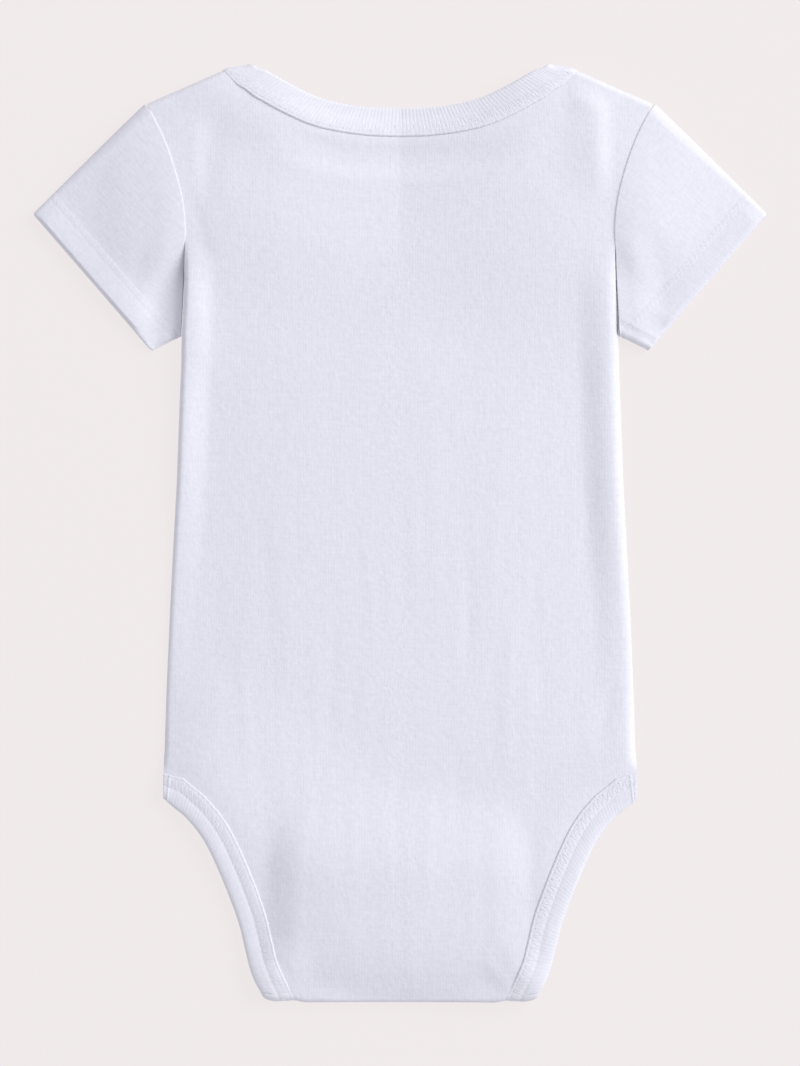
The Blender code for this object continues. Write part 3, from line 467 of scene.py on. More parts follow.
# Smooth unevenness: its height, how wide and how long its bumps are, and its seed.
Waver = namedtuple("Waver", "height across along seed")
STREAKS = Waver(0.07, 5.0, 38.0, 3)
SWELLS = Waver(0.06, 13.0, 17.0, 5)
DIMPLES = Waver(0.04, 3.4, 4.2, 8)
FRONT_SWELLS = Waver(0.12, 14.0, 22.0, 11)
FRONT_CREASE_END = HIP_Y - 30.0
SLEEVE_SWELLS = {-1: Waver(0.2, 12.0, 15.0, 19), 1: Waver(0.2, 12.0, 15.0, 21)}
SLEEVE_DIMPLES = Waver(0.03, 3.4, 4.0, 25)

LEFT_HIP = (-101.0, -92.0)
HIP_LEAN = 4.4             # how much lower the left hip lies
HIP_ACROSS = Drape(-16.0, 44.0)
HIP_ALONG = Drape(12.0, 42.0)
CORNER_Y = -174.0          # middle of the lower part beside the leg bindings
CORNER_ALONG = Drape(20.0, 46.0)
CORNER_FOLD = Drape(8.0, 22.0)
FOLD_HOLD = 0.85           # how much the fold holds the sides level
LEFT_DROP = 2.5            # how much lower the cloth lies beside the left leg binding,
RIGHT_RISE = 1.6           # how much higher from the left to the right of the middle,
RIGHT_LIFT = 2.4           # and how much higher again beside the right leg binding
LEAN_HEIGHT = 5.0          # over the table, from where the lean is full
LEG_SLOPE = Drape(-20.0, 55.0)
RISE_ACROSS = Drape(-60.0, 70.0)
LIFT_ACROSS = Drape(41.0, 24.0)
NECK_HOLLOW = -1.5         # the cloth dips along the back neck binding, in an arc
HOLLOW_INSET = 10.5        # middle of that arc from the binding's sewn edge
HOLLOW_ACROSS = Drape(1.5, 8.5)
HOLLOW_ALONG = Drape(25.0, 35.0)


def waver(points, kind):
    """Height that an unevenness adds, from a table of bumps that repeats far apart."""
    size = 64
    table = np.random.default_rng(kind.seed).uniform(-1.0, 1.0, (size, size))
    grid = points / (kind.across, kind.along)
    cell = np.floor(grid).astype(int)
    share = eased(grid - cell)
    total = 0.0
    for right in (0, 1):
        for up in (0, 1):
            weight = np.abs(1 - right - share[:, 0]) * np.abs(1 - up - share[:, 1])
            total = total + weight * table[(cell[:, 0] + right) % size,
                                           (cell[:, 1] + up) % size]
    return kind.height * total


def creased(points, creases):
    """Height that soft ridges and troughs add; each fades out at both of its ends."""
    height = np.zeros(len(points))
    for crease in creases:
        start = np.array((crease.x0, crease.y0))
        run = np.array((crease.x1, crease.y1)) - start
        length = np.linalg.norm(run)
        run = run / length
        along = (points - start) @ run
        bow = CREASE_BOW * length * np.sin(along / length * CREASE_TURN + crease.x0)
        across = (points - start) @ np.array((-run[1], run[0])) - bow
        fade = eased(np.minimum(along, length - along) / (CREASE_END * length))
        height += crease.depth * fade * np.exp(-(across / crease.width * 2.0) ** 2)
    return height


def back_relief(points):
    """How the back's cloth departs from a smooth drape."""
    height = creased(points, BACK_CREASES)
    height += waver(points, STREAKS) * mound(points[:, 1], STREAK_TOP)
    height += waver(points, SWELLS) + waver(points, DIMPLES)
    half = halved(points)
    inset = np.abs(distance(half, NECK_ARC) - HOLLOW_INSET)
    height += NECK_HOLLOW * mound(inset, HOLLOW_ACROSS) * mound(half[:, 0], HOLLOW_ALONG)
    fade = mound(half[:, 0] - side_edge(half[:, 1]), RELIEF_EDGE)
    fade = fade * mound(shoulder_reach(half) + FOLD_RADIUS, RELIEF_EDGE)
    return height * fade * mound(CROTCH_Y + FOLD_RADIUS - half[:, 1], RELIEF_EDGE)


def lean(points):
    """The wearer's left side lies lower, at the hip and beside the crotch; the right one higher."""
    x, y = points.T
    hip = mound(x - LEFT_HIP[0], HIP_ACROSS) * mound(np.abs(y - LEFT_HIP[1]), HIP_ALONG)
    left = LEFT_DROP * near(halved(points), LEG_LOWER, LEG_SLOPE) * (x < 0)
    right = RIGHT_LIFT * (1.0 - mound(x, LIFT_ACROSS))
    rise = RIGHT_RISE * (1.0 - mound(x, RISE_ACROSS))
    rise = rise + (right - left) * (1.0 - FOLD_HOLD * mound(y - CROTCH_Y, CORNER_FOLD))
    corner = mound(np.abs(y - CORNER_Y), CORNER_ALONG) * mound(CROTCH_Y - y, CROTCH_DRAPE)
    return rise * corner - HIP_LEAN * hip


def front_relief(points):
    """The front's creases stand up from the table."""
    height = creased(points, FRONT_CREASES) + FRONT_SWELLS.height + waver(points, FRONT_SWELLS)
    half = halved(points)
    fade = mound(half[:, 0] - side_half(half[:, 1]), RELIEF_EDGE)
    fade = fade * mound(half[:, 1] - NECK_FRONT_SEWN[0, 1], RELIEF_EDGE)
    return height * fade * mound(FRONT_CREASE_END - half[:, 1], RELIEF_EDGE)


# ------------------------------------------------------------------ surfaces
PROBE = 0.05               # to both sides of a point, for the cloth's direction there


def side_turn(y):
    """How fully the side is rounded: 1 along the body, 0 at the armpit and at the hip."""
    return mound(y - ARMPIT_Y, ARMPIT_TURN) * mound(HIP_Y - y, HIP_TURN)


def side_value(y, right, on_left, on_right):
    """What one of the two columns says at y: the right side's or the left one's."""
    left = np.interp(y, BODY_SIDE.y, on_left)
    return np.where(right, np.interp(y, BODY_SIDE.y, on_right), left)


def side_half(y):
    return np.interp(y, BODY_SIDE.y, BODY_SIDE.half)


def side_edge(y):
    """Half width of the back's pattern at the side seam."""
    return side_half(y) - CLOTH / 2 * side_turn(y)


def rolled(points, height, right):
    """The side of the body: a soft ridge inside the edge, then the cloth turns down to the seam."""
    x, y = points.T
    turned = side_turn(y)
    inset = side_edge(y) - x
    roll = np.where(right, RIGHT_ROLL, LEFT_ROLL)
    ridge_inset = np.where(right, RIGHT_RIDGE, LEFT_RIDGE)
    slope = np.where(inset < ridge_inset, RIDGE_FRONT, np.where(right, RIGHT_SLOPE, LEFT_SLOPE))
    ridge = side_value(y, right, BODY_SIDE.left_ridge, BODY_SIDE.right_ridge)
    ridge = ridge * mound(np.abs(inset - ridge_inset) / slope, RIDGE_DRAPE)
    crest = height + turned * ridge
    angle = np.clip(1.0 - inset / roll, 0.0, 1.0) * math.pi / 2
    plan = np.where(inset < roll, side_edge(y) - roll + roll * np.sin(angle), x)
    edge = side_value(y, right, BODY_SIDE.left_edge, BODY_SIDE.right_edge)
    drop = np.maximum(crest - edge, 0.0) * turned
    return np.column_stack((x + (plan - x) * turned, y, crest - drop * (1.0 - np.cos(angle))))


def drooped(x, y):
    """How far the end of the shoulder fold hangs below a straight line."""
    return TIP_DROOP * (1.0 - mound(y - TIP[1], TIP_RISE)) * mound(np.abs(x - TIP[0]), TIP_DRAPE)


def over_shoulder(points):
    """The back's cloth over the shoulder fold and on along the lap."""
    reach = shoulder_reach(points)
    base = points - reach[:, None] * SHOULDER_OUT
    plan, z = fold_over(reach, FOLD_RADIUS,
                        lambda r: back_height(base + r[:, None] * SHOULDER_OUT),
                        lambda r: lap_height(base + r[:, None] * SHOULDER_OUT))
    x, y = (base + plan[:, None] * SHOULDER_OUT).T
    droop = drooped(x, y) * (1.0 - mound(reach + FOLD_ZONE, TIP_START))
    return np.column_stack((x, y - droop, z))


def under_crotch(points):
    """The back's cloth under the crotch fold and on up the tab."""
    x = points[:, 0]
    band = near(np.column_stack((x, np.full(len(x), CROTCH_Y))), TAB_BAND, TAB_DRAPE)
    radius = CROTCH_RADIUS + (FOLD_RADIUS - CROTCH_RADIUS) * band
    plan, z = fold_over(CROTCH_Y - points[:, 1], radius,
                        lambda r: back_height(np.column_stack((x, CROTCH_Y - r))),
                        lambda r: tab_height(np.column_stack((x, CROTCH_Y - r))))
    bulge = CROTCH_BULGE * mound(x, BULGE_ACROSS)
    bulge -= CORNER_PULL * (1.0 - mound(x, PULL_ACROSS))
    return np.column_stack((x, CROTCH_Y - plan - bulge * mound(np.abs(plan), CROTCH_DRAPE), z))


def back_surface(pattern):
    """Middle of the back's cloth at pattern points."""
    half = halved(pattern)
    shoulder = (shoulder_reach(half) > -FOLD_ZONE) & (half[:, 0] > SHOULDER_START_X)
    crotch = (CROTCH_Y - half[:, 1] > -FOLD_ZONE) & ~shoulder
    level = ~(shoulder | crotch)
    laid = np.empty((len(pattern), 3))
    if shoulder.any():
        laid[shoulder] = over_shoulder(half[shoulder])
    if crotch.any():
        laid[crotch] = under_crotch(half[crotch])
    if level.any():
        laid[level] = rolled(half[level], back_height(half[level]), pattern[level, 0] > 0)
    laid[:, 2] += back_relief(pattern)
    laid[:, 2] += lean(pattern) * np.clip((laid[:, 2] - REST) / LEAN_HEIGHT, 0.0, 1.0)
    laid[:, 0] *= np.where(pattern[:, 0] < 0, -1, 1)
    return laid


def front_surface(pattern):
    """Middle of the front's cloth, which has no fold."""
    half = halved(pattern)
    return np.column_stack((pattern, front_height(half) + front_relief(pattern)))


def surface_frame(surface, pattern):
    """A surface's points and outward directions at pattern points."""
    across = surface(pattern + (PROBE, 0)) - surface(pattern - (PROBE, 0))
    along = surface(pattern + (0, PROBE)) - surface(pattern - (0, PROBE))
    normal = np.cross(across, along)
    normal /= np.linalg.norm(normal, axis=1)[:, None]
    return surface(pattern), normal


# ------------------------------------------------------------------ meshes
def make_piece(name, points, faces, material, grain=None):
    """A smooth mesh object; `grain` says where each point is across and along the knit."""
    laid = (points + (0, CENTRE_Y, 0)) * MM
    laid[:, 2] = np.maximum(laid[:, 2], 0.0)
    mesh = bpy.data.meshes.new(name)
    mesh.from_pydata(laid.tolist(), [], faces)
    if grain is not None:
        values = np.zeros((len(points), 3))
        values[:, :2] = grain
        stored = mesh.attributes.new("grain", "FLOAT_VECTOR", "POINT")
        stored.data.foreach_set("vector", values.ravel())
    mesh.materials.append(material)
    mesh.shade_smooth()
    piece = bpy.data.objects.new(name, mesh)
    bpy.context.scene.collection.objects.link(piece)
    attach(piece, "root")
    return piece


def quads(index):
    """Quads between the rows of a grid of point numbers."""
    corners = (index[:-1, :-1], index[:-1, 1:], index[1:, 1:], index[1:, :-1])
    return np.stack(corners, axis=-1).reshape(-1, 4)


def weld(grids):
    """Pattern points and quads of grids on both halves, joined where their edges meet."""
    points, faces, count = [], [], 0
    for grid in grids:
        for side in (1, -1):
            index = count + np.arange(grid.shape[0] * grid.shape[1]).reshape(grid.shape[:2])
            points.append(grid.reshape(-1, 2) * (side, 1))
            faces.append(quads(index)[:, ::side])
            count += index.size
    points = np.round(np.vstack(points), 4) + 0.0
    _, keep, same = np.unique(points, axis=0, return_index=True, return_inverse=True)
    return points[keep], same.ravel()[np.vstack(faces)]


def cloth_wall(middle, faces, thickness):
    """A closed wall of cloth round its middle surface."""
    corner = middle[faces]
    turn = np.cross(corner[:, 2] - corner[:, 0], corner[:, 3] - corner[:, 1])
    normal = np.zeros_like(middle)
    for k in range(4):
        np.add.at(normal, faces[:, k], turn)
    normal /= np.linalg.norm(normal, axis=1)[:, None]
    count = len(middle)
    edges = np.vstack([faces[:, [k, (k + 1) % 4]] for k in range(4)])
    forward = edges[:, 0] * count + edges[:, 1]
    backward = edges[:, 1] * count + edges[:, 0]
    rim = edges[~np.isin(forward, backward)]
    sides = np.column_stack((rim[:, 1], rim[:, 0], rim[:, 0] + count, rim[:, 1] + count))
    points = np.vstack((middle + normal * thickness / 2, middle - normal * thickness / 2))
    return points, np.vstack((faces, faces[:, ::-1] + count, sides)).tolist()


def cloth(name, grids, surface, material):
    """A panel of cloth from grids of its pattern."""
    pattern, faces = weld(grids)
    points, walls = cloth_wall(surface(pattern), faces, CLOTH)
    piece = make_piece(name, points, walls, material, np.vstack((pattern, pattern)))
    return piece


# ------------------------------------------------------------------ sewing threads
THREAD_SIDES = 5
STITCH_POINTS = 8
NEEDLE_RISE, NEEDLE_SINK = 0.15, 0.2    # a stitch's arch, and how deep it dives at its ends
COVER_RISE, COVER_SINK = 0.06, 0.09     # the same of the thread between two rows


def needle_lift(along):
    """Height of a needle thread over the cloth: it dives in at the end of each stitch."""
    return NEEDLE_RISE * np.abs(np.sin(along / STITCH * math.pi)) ** 0.7 - NEEDLE_SINK


def cover_lift(share):
    """Height of the thread that crosses from row to row, held down at both."""
    return COVER_RISE * np.sin(math.pi * share) - COVER_SINK


def crossing(along):
    """Share of the way from one needle row to the other, there and back in every stitch."""
    return np.abs((along / STITCH) % 1.0 * 2 - 1)


def sewing(name, paths, material):
    """Threads along paths, each given as its points and the cloth's outward directions there."""
    points, faces, grain, count = [], [], [], 0
    angle = 2 * math.pi * np.arange(THREAD_SIDES) / THREAD_SIDES
    for path, normal in paths:
        run = np.gradient(path, axis=0)
        aside = np.cross(run, normal)
        aside /= np.linalg.norm(aside, axis=1)[:, None]
        lift = np.cross(aside, run)
        lift /= np.linalg.norm(lift, axis=1)[:, None]
        ring = (aside[:, None, :] * np.cos(angle)[:, None] + lift[:, None, :]
                * np.sin(angle)[:, None]) * THREAD_RADIUS
        points.append((path[:, None, :] + ring).reshape(-1, 3))
        index = count + np.arange(len(path) * THREAD_SIDES).reshape(len(path), -1)
        faces += [index[0].tolist(), index[-1, ::-1].tolist()]
        faces += quads(np.column_stack((index, index[:, 0])))[:, ::-1].tolist()
        grain.append(np.column_stack((np.tile(angle * THREAD_RADIUS, len(path)),
                                      np.repeat(places(path), THREAD_SIDES))))
        count += index.size
    return make_piece(name, np.vstack(points), faces, material, np.vstack(grain))


# ------------------------------------------------------------------ bindings
# Half a binding's section from the sewn edge to the fold: distance from the fold, height over the
# middle of the cloth, and how much of the ribs and of the stitches' puckers shows there.
Profile = namedtuple("Profile", "reach height rib pucker")
BINDING_PROFILE = [
    Profile(12.6, 0.45, 0.0, 0.0), Profile(12.55, 0.75, 0.3, 0.3), Profile(12.3, 1.0, 0.5, 0.6),
    Profile(12.0, 1.12, 0.6, 0.7), Profile(11.75, 1.1, 0.4, 0.4), Profile(11.5, 1.04, 0.3, 0.2),
    Profile(11.2, 1.14, 0.5, 0.5), Profile(10.7, 1.24, 0.8, 0.9), Profile(10.0, 1.29, 0.9, 1.0),
    Profile(9.2, 1.31, 1.0, 1.0), Profile(8.4, 1.31, 1.0, 1.0), Profile(7.7, 1.27, 0.9, 0.9),
    Profile(7.3, 1.2, 0.6, 0.5), Profile(7.0, 1.12, 0.4, 0.2), Profile(6.7, 1.21, 0.6, 0.1),
    Profile(6.2, 1.38, 0.9, 0.0), Profile(5.5, 1.53, 1.0, 0.0), Profile(4.6, 1.64, 1.0, 0.0),
    Profile(3.6, 1.69, 1.0, 0.0), Profile(2.8, 1.68, 1.0, 0.0), Profile(2.1, 1.6, 1.0, 0.0),
    Profile(1.45, 1.45, 1.0, 0.0), Profile(0.9, 1.2, 1.0, 0.0), Profile(0.45, 0.88, 0.8, 0.0),
    Profile(0.12, 0.45, 0.5, 0.0),
]
PUCKER = 0.06
PUCKER_SLANT = 3.6         # a pucker moves on by one stitch in this much across the strip
INSIDE_HEIGHT = 0.58       # half the room inside a binding, for the panel's edge
EVEN_HEIGHT = 1.42         # half the thickness of an even binding,
FULL_HEIGHT = 1.15         # wherever its profile is higher than this
SEAM_SINK, SEAM_WIDTH = 0.3, 0.45       # of the seam across a joined binding
SEAM_THREAD = 1.1          # from that seam back to its needle row
THREAD_END = 0.4           # the rows of thread stop this far from the ends
PRESS_DEPTH = 0.5          # the share of its height that a binding loses at a fold,
PRESS_START, PRESS_SPAN = 6.0, 6.0      # between these distances from its free edge
HALVES = (("left", -1), ("right", 1))   # the wearer's, and the sign of x there

# A panel that is bound; `face` is 1 where the garment's outside is above its pattern, else -1.
Panel = namedtuple("Panel", "name surface face")
BACK = Panel("back", back_surface, 1)
FRONT = Panel("front", front_surface, -1)
# A binding as it is cut: its free and its sewn edge, its panel and half, its knit, how much it is
# pressed at each station, and whether it is joined to the front's binding near its start.
Strip = namedtuple("Strip", "free sewn panel side kind pressed joined", defaults=(0.0, False))


def flattened(height, evenness):
    """A profile height brought towards the same thickness all over."""
    return height + evenness * (EVEN_HEIGHT * np.minimum(1.0, height / FULL_HEIGHT) - height)


def thinned(pressed, reach):
    """How much of its height a pressed binding keeps at distances from its free edge."""
    return 1.0 - PRESS_DEPTH * pressed * np.clip((reach - PRESS_START) / PRESS_SPAN, 0.0, 1.0)


def stations(strip):
    """Distances along a binding, a quarter of a rib apart."""
    return np.arange(len(strip.free)) * RIB_PITCH / 4


def binding_section(evenness):
    """The whole closed section of a binding and its outward directions."""
    top = [list(row) for row in BINDING_PROFILE]
    under = [[row.reach, -row.height, row.rib, row.pucker] for row in BINDING_PROFILE[::-1]]
    fold = [[0.0, 0.0, 0.4, 0.0]]
    inner = [[reach, side * INSIDE_HEIGHT, 0.0, 0.0] for reach, side in (
        (12.3, -1), (7.0, -1), (2.2, -1), (1.2, 0), (2.2, 1), (7.0, 1), (12.3, 1))]
    section = np.array(top + fold + under + inner)
    outer = 2 * len(top) + 1
    section[:outer, 1] = np.sign(section[:outer, 1]) * flattened(
        np.abs(section[:outer, 1]), evenness)
    run = np.roll(section[:, :2], -1, axis=0) - np.roll(section[:, :2], 1, axis=0)
    out = np.column_stack((-run[:, 1], run[:, 0]))
    out /= np.linalg.norm(out, axis=1)[:, None]
    return section, out


def binding(name, strip, material):
    """A folded rib strip, pressed thinner along its sewn edge where the garment folds."""
    section, out = binding_section(strip.kind.evenness)
    along = stations(strip)
    seam = -SEAM_SINK * np.exp(-((along - JOIN) / SEAM_WIDTH) ** 2) * strip.joined
    rib = strip.kind.ribs * np.cos(along / RIB_PITCH * 2 * math.pi)
    across = (strip.sewn - strip.free) / BAND
    rings = []
    for (reach, height, ribbed, puckered), (out_reach, out_height) in zip(section, out):
        pucker = PUCKER * np.cos((along / STITCH + reach / PUCKER_SLANT) * 2 * math.pi)
        rise = rib * ribbed + pucker * puckered + seam * min(1.0, ribbed + puckered)
        plan = strip.free + across * (reach + rise * out_reach)[:, None]
        middle, normal = surface_frame(strip.panel.surface, plan * (strip.side, 1))
        lift = height * thinned(strip.pressed, reach) + rise * out_height
        rings.append(middle + lift[:, None] * normal)
    ring = len(rings)
    points = np.stack(rings, axis=1).reshape(-1, 3)
    index = np.arange(len(points)).reshape(-1, ring)
    index = np.column_stack((index, index[:, 0]))
    faces = quads(index)[:, ::-strip.side].tolist()
    ends = [index[0, :-1].tolist(), index[-1, :-1][::-1].tolist()]
    faces += [end[::strip.side] for end in ends]
    lengths = np.concatenate(([0.0], np.cumsum(np.hypot(*np.diff(section[:, :2], axis=0).T))))
    grain = np.stack(np.meshgrid(along, lengths, indexing="ij"), axis=-1)
    return make_piece(name, points, faces, material, grain.reshape(-1, 2))


def binding_threads(strip):
    """Two needle rows, the thread that crosses between them, and a joined binding's seam."""
    stops = stations(strip)
    along = np.arange(THREAD_END, stops[-1] - THREAD_END, STITCH / STITCH_POINTS)
    first, second = NEEDLE_ROWS
    share = crossing(along)
    routes = [(along, np.full(len(along), row), needle_lift(along)) for row in NEEDLE_ROWS]
    routes.append((along, first + (second - first) * share, cover_lift(share)))
    if strip.joined:
        reach = np.arange(1.0, BAND, STITCH / STITCH_POINTS)
        routes.append((np.full(len(reach), JOIN - SEAM_THREAD), reach, needle_lift(reach)))
    profile = np.array([(row.reach, row.height) for row in BINDING_PROFILE[::-1]])
    pressed = np.broadcast_to(strip.pressed, len(stops))
    paths = []
    for along, reach, lift in routes:
        start, end = (np.column_stack([np.interp(along, stops, column) for column in edge.T])
                      for edge in (strip.free, strip.sewn))
        plan = start + (end - start) * (reach / BAND)[:, None]
        middle, normal = surface_frame(strip.panel.surface, plan * (strip.side, 1))
        height = flattened(np.interp(reach, profile[:, 0], profile[:, 1]), strip.kind.evenness)
        height = height * thinned(np.interp(along, stops, pressed), reach) + lift
        face = strip.panel.face
        paths.append((middle + (height * face)[:, None] * normal, normal * face))
    return paths


def bound(name, strip, rib, thread):
    """A binding sewn to its panel."""
    piece = binding(name, strip, rib)
    rows = sewing(f"{name}_stitches", binding_threads(strip), thread)
    return piece


def paired(lines, cuts, counts):
    """Both edges of a strip divided alike: between the cut distances, evenly into the counts."""
    pairs = []
    for line, marks in zip(lines, cuts):
        parts = [spread(stretch(line, a, b), count)[:-1]
                 for a, b, count in zip(marks, marks[1:], counts)]
        pairs.append(np.vstack((*parts, at(line, [marks[-1]]))))
    return pairs


def rib_counts(marks):
    """How many quarter ribs fit between distances along a binding's free edge."""
    return [max(1, round((b - a) / RIB_PITCH * 4)) for a, b in zip(marks, marks[1:])]


def shoulder_cuts(line):
    """Where a line comes on to the shoulder fold and where it leaves it."""
    reach = shoulder_reach(line)
    return [where(line, reach, level * FOLD_RADIUS) for level in (-1.25, 2.4)]


def crotch_cuts(line):
    """Where a line comes on to the crotch fold and where it leaves it."""
    return [where(line, CROTCH_Y - line[:, 1], level) for level in (-2.5, 5.0)]


def folding_edges(free, sewn, cuts_of, counts=None):
    """Both edges of a binding that goes over a fold: up to it, on it and past it."""
    cuts = [[0.0, *cuts_of(line), places(line)[-1]] for line in (free, sewn)]
    return paired((free, sewn), cuts, counts or rib_counts(cuts[0]))


def front_edges(free, sewn):
    """Both edges of a front binding."""
    count = rib_counts([0.0, places(free)[-1]])[0]
    return spread(free, count), spread(sewn, count)


# ------------------------------------------------------------------ the panels
def columns(starts, ends, shares):
    """A grid of rows from start points to end points."""
    return starts[:, None, :] + (ends - starts)[:, None, :] * shares[None, :, None]


def level_rows(edge):
    """Rows straight across from the centre line to edge points."""
    centre = np.column_stack((np.zeros(len(edge)), edge[:, 1]))
    return columns(centre, edge, COLUMN_SHARES)


def coons(bottom, top, left, right):
    """A grid inside four edges; bottom and top run outwards, left and right upwards."""
    v = np.linspace(0, 1, len(left))[:, None, None]
    u = COLUMN_SHARES[None, :, None]
    inside = (1 - v) * bottom + v * top
    start_gap = left[:, None, :] - inside[:, :1]
    end_gap = right[:, None, :] - inside[:, -1:]
    return inside + (1 - u) * start_gap + u * end_gap


def yoke(top, armhole):
    """Rows from the armpit up to a shaped top edge."""
    bottom = level_rows(armhole[:1])[0]
    centre = np.column_stack((np.zeros(YOKE_ROWS + 1),
                              np.linspace(ARMPIT_Y, top[0][1], YOKE_ROWS + 1)))
    return coons(bottom, top, centre, spread(armhole, YOKE_ROWS))


def side_points(edge_at, armpit):
    """Points of a panel's side edge, from the hip up to the armpit."""
    ys = np.linspace(HIP_Y, ARMPIT_Y, BODY_ROWS + 1)
    edge = np.column_stack((edge_at(ys), ys))
    edge[-1] = armpit
    return edge


def back_armhole():
    """The back's armhole, on past the shoulder fold to the end of the lap."""
    top = lap_pattern(ARMHOLE_LINE[ARMHOLE_LINE[:, 1] > LAP_SEWN_END[1]][::-1])
    beyond = top[shoulder_reach(top) > 0]
    line = np.vstack((ARMHOLE_LINE, beyond)) - (GAP / 2, 0)
    return np.vstack((line, NECK_BACK_SEWN[-1:] + (0.4, 0.2)))


def make_back(jersey, rib, thread):
    free, sewn = folding_edges(NECK_BACK_FREE, NECK_BACK_SEWN, shoulder_cuts,
                               [NECK_COLUMNS, FOLD_ROWS, LAP_ROWS])
    leg_free, leg_sewn = folding_edges(LEG_BACK_FREE, LEG_BACK_SEWN, crotch_cuts,
                                       [LEG_ROWS, FOLD_ROWS, TAB_ROWS])
    armhole = back_armhole()
    folds = shoulder_cuts(armhole)
    top = columns(sewn[NECK_COLUMNS:NECK_COLUMNS + 1], at(armhole, folds[:1]), SIDE_SHARES)[0]
    top = np.vstack((sewn[:NECK_COLUMNS], top))
    ends = np.vstack((spread(stretch(armhole, *folds), FOLD_ROWS)[:-1],
                      spread(stretch(armhole, folds[1], places(armhole)[-1]), LAP_ROWS)))
    grids = [yoke(top, stretch(armhole, 0.0, folds[0])),
             columns(sewn[NECK_COLUMNS:], ends, SIDE_SHARES),
             np.stack((sewn, cut_edge(free, sewn))),
             level_rows(side_points(side_edge, armhole[0])),
             level_rows(leg_sewn)[::-1],
             np.stack((cut_edge(leg_free, leg_sewn)[::-1], leg_sewn[::-1]))]
    pieces = {"back_panel": cloth("back", grids, back_surface, jersey)}
    free, sewn = folding_edges(NECK_BACK_FREE, NECK_BACK_SEWN, shoulder_cuts)
    pressed = mound(np.abs(shoulder_reach(sewn)), PRESS)
    pressed = np.concatenate((pressed[:0:-1], pressed))
    neck = Strip(mirrored(free), mirrored(sewn), BACK, 1, NECK, pressed)
    pieces["neck_binding_back"] = bound("back_neck_binding", neck, rib, thread)
    free, sewn = folding_edges(LEG_BACK_FREE, LEG_BACK_SEWN, crotch_cuts)
    pressed = mound(np.abs(sewn[:, 1] - CROTCH_Y), PRESS)
    for name, side in HALVES:
        leg = Strip(free, sewn, BACK, side, LEG, pressed, True)
        pieces[f"leg_binding_back_{name}"] = bound(f"back_leg_binding_{name}", leg, rib, thread)
    return pieces


def make_front(jersey, rib, thread):
    free = spread(NECK_FRONT_FREE, NECK_COLUMNS + SIDE_COLUMNS)
    sewn = spread(NECK_FRONT_SEWN, NECK_COLUMNS + SIDE_COLUMNS)
    leg_free, leg_sewn = spread(LEG_FRONT_FREE, LEG_ROWS), spread(LEG_FRONT_SEWN, LEG_ROWS)
    armhole = ARMHOLE_LINE - (GAP / 2, 0)
    top = where(armhole, armhole[:, 1], NECK_FRONT_SEWN_END[1])
    armhole = stretch(armhole, 0.0, top)
    armhole[-1] = sewn[-1]
    grids = [yoke(sewn, armhole),
             level_rows(side_points(side_half, armhole[0])),
             level_rows(leg_sewn)[::-1],
             np.stack((sewn, cut_edge(free, sewn))),
             np.stack((cut_edge(leg_free, leg_sewn)[::-1], leg_sewn[::-1]))]
    pieces = {"front_panel": cloth("front", grids, front_surface, jersey)}
    free, sewn = front_edges(NECK_FRONT_FREE, NECK_FRONT_SEWN)
    neck = Strip(mirrored(free), mirrored(sewn), FRONT, 1, NECK)
    pieces["neck_binding_front"] = bound("front_neck_binding", neck, rib, thread)
    free, sewn = front_edges(LEG_FRONT_FREE, LEG_FRONT_SEWN)
    for name, side in HALVES:
        leg = Strip(free, sewn, FRONT, side, LEG)
        pieces[f"leg_binding_front_{name}"] = bound(f"front_leg_binding_{name}", leg, rib,
                                                    thread)
    return pieces


# ------------------------------------------------------------------ the sleeves
END_STEPS = 12             # points round each folded end of a section
FLAT_STEPS = 190           # points on each flat side of a section
END_ANGLES = math.pi * (np.arange(END_STEPS) + 0.5) / END_STEPS
FLAT_SHARES = (np.arange(FLAT_STEPS) + 0.5) / FLAT_STEPS
# The four stretches of a section, in the order that its points go round.
FOLD_END = slice(0, END_STEPS)
TOP_SIDE = slice(END_STEPS, END_STEPS + FLAT_STEPS)
UNDERARM_END = slice(END_STEPS + FLAT_STEPS, 2 * END_STEPS + FLAT_STEPS)
TABLE_SIDE = slice(2 * END_STEPS + FLAT_STEPS, None)
ROUND_STEPS = 2 * (END_STEPS + FLAT_STEPS)
SEAM_LAP = 0.9             # the sleeve's top edge lies this far over the body's,
LAP_START, LAP_SPAN = 2.5, 3.0          # above this height and fully so this much higher,
LAP_AT_FOLD = 0.8          # and by this share of it beside the shoulder fold
UNDERARM_SEAM = 3.0        # from the underarm edge
UNDERARM_SINK, UNDERARM_WIDTH = 0.25, 0.5
UNDERARM_DROP = 0.5        # how much lower the cloth is beyond the seam
UNDERARM_STEP = Drape(1.8, 1.4)
HOLLOW_RISE = Drape(8.0, 18.0)
WHOLE = Drape(0.0, 1.0)
DIP_START = Drape(0.4, 0.4)
PUFF_END = Drape(0.45, 0.4)
SLEEVE_RELIEF_SIDE = Drape(2.0, 9.0)
LAP_END = Drape(0.55, 0.12)
FOLD_LAP = Drape(0.02, 0.04)
RELIEF_START, RELIEF_END = 4.0, 2.5     # how fast creases grow from the armhole and the cuff
TABLE_RELIEF = 0.5         # their share on the side that lies on the table
SLEEVE_PROBE = 0.15        # to both sides of a point, for the cloth's direction there
HEM_HEIGHT = 1.3
HEM_SWELL = Drape(1.5, 14.0)
HEM_PUCKER = 0.04
NEEDLE_SPAN = Drape(0.9, 1.2)
GROOVE_DEPTH, GROOVE_WIDTH = 0.07, 0.42
HEM_EASE = 2.2             # the fine rows round the hem start this far beyond it
OUTER_ROWS, INNER_ROWS = 34, 12         # from there to the armhole, and on the inside
SHOULDER_CORNER = (109.9, 184.1)        # where the armhole meets the shoulder fold
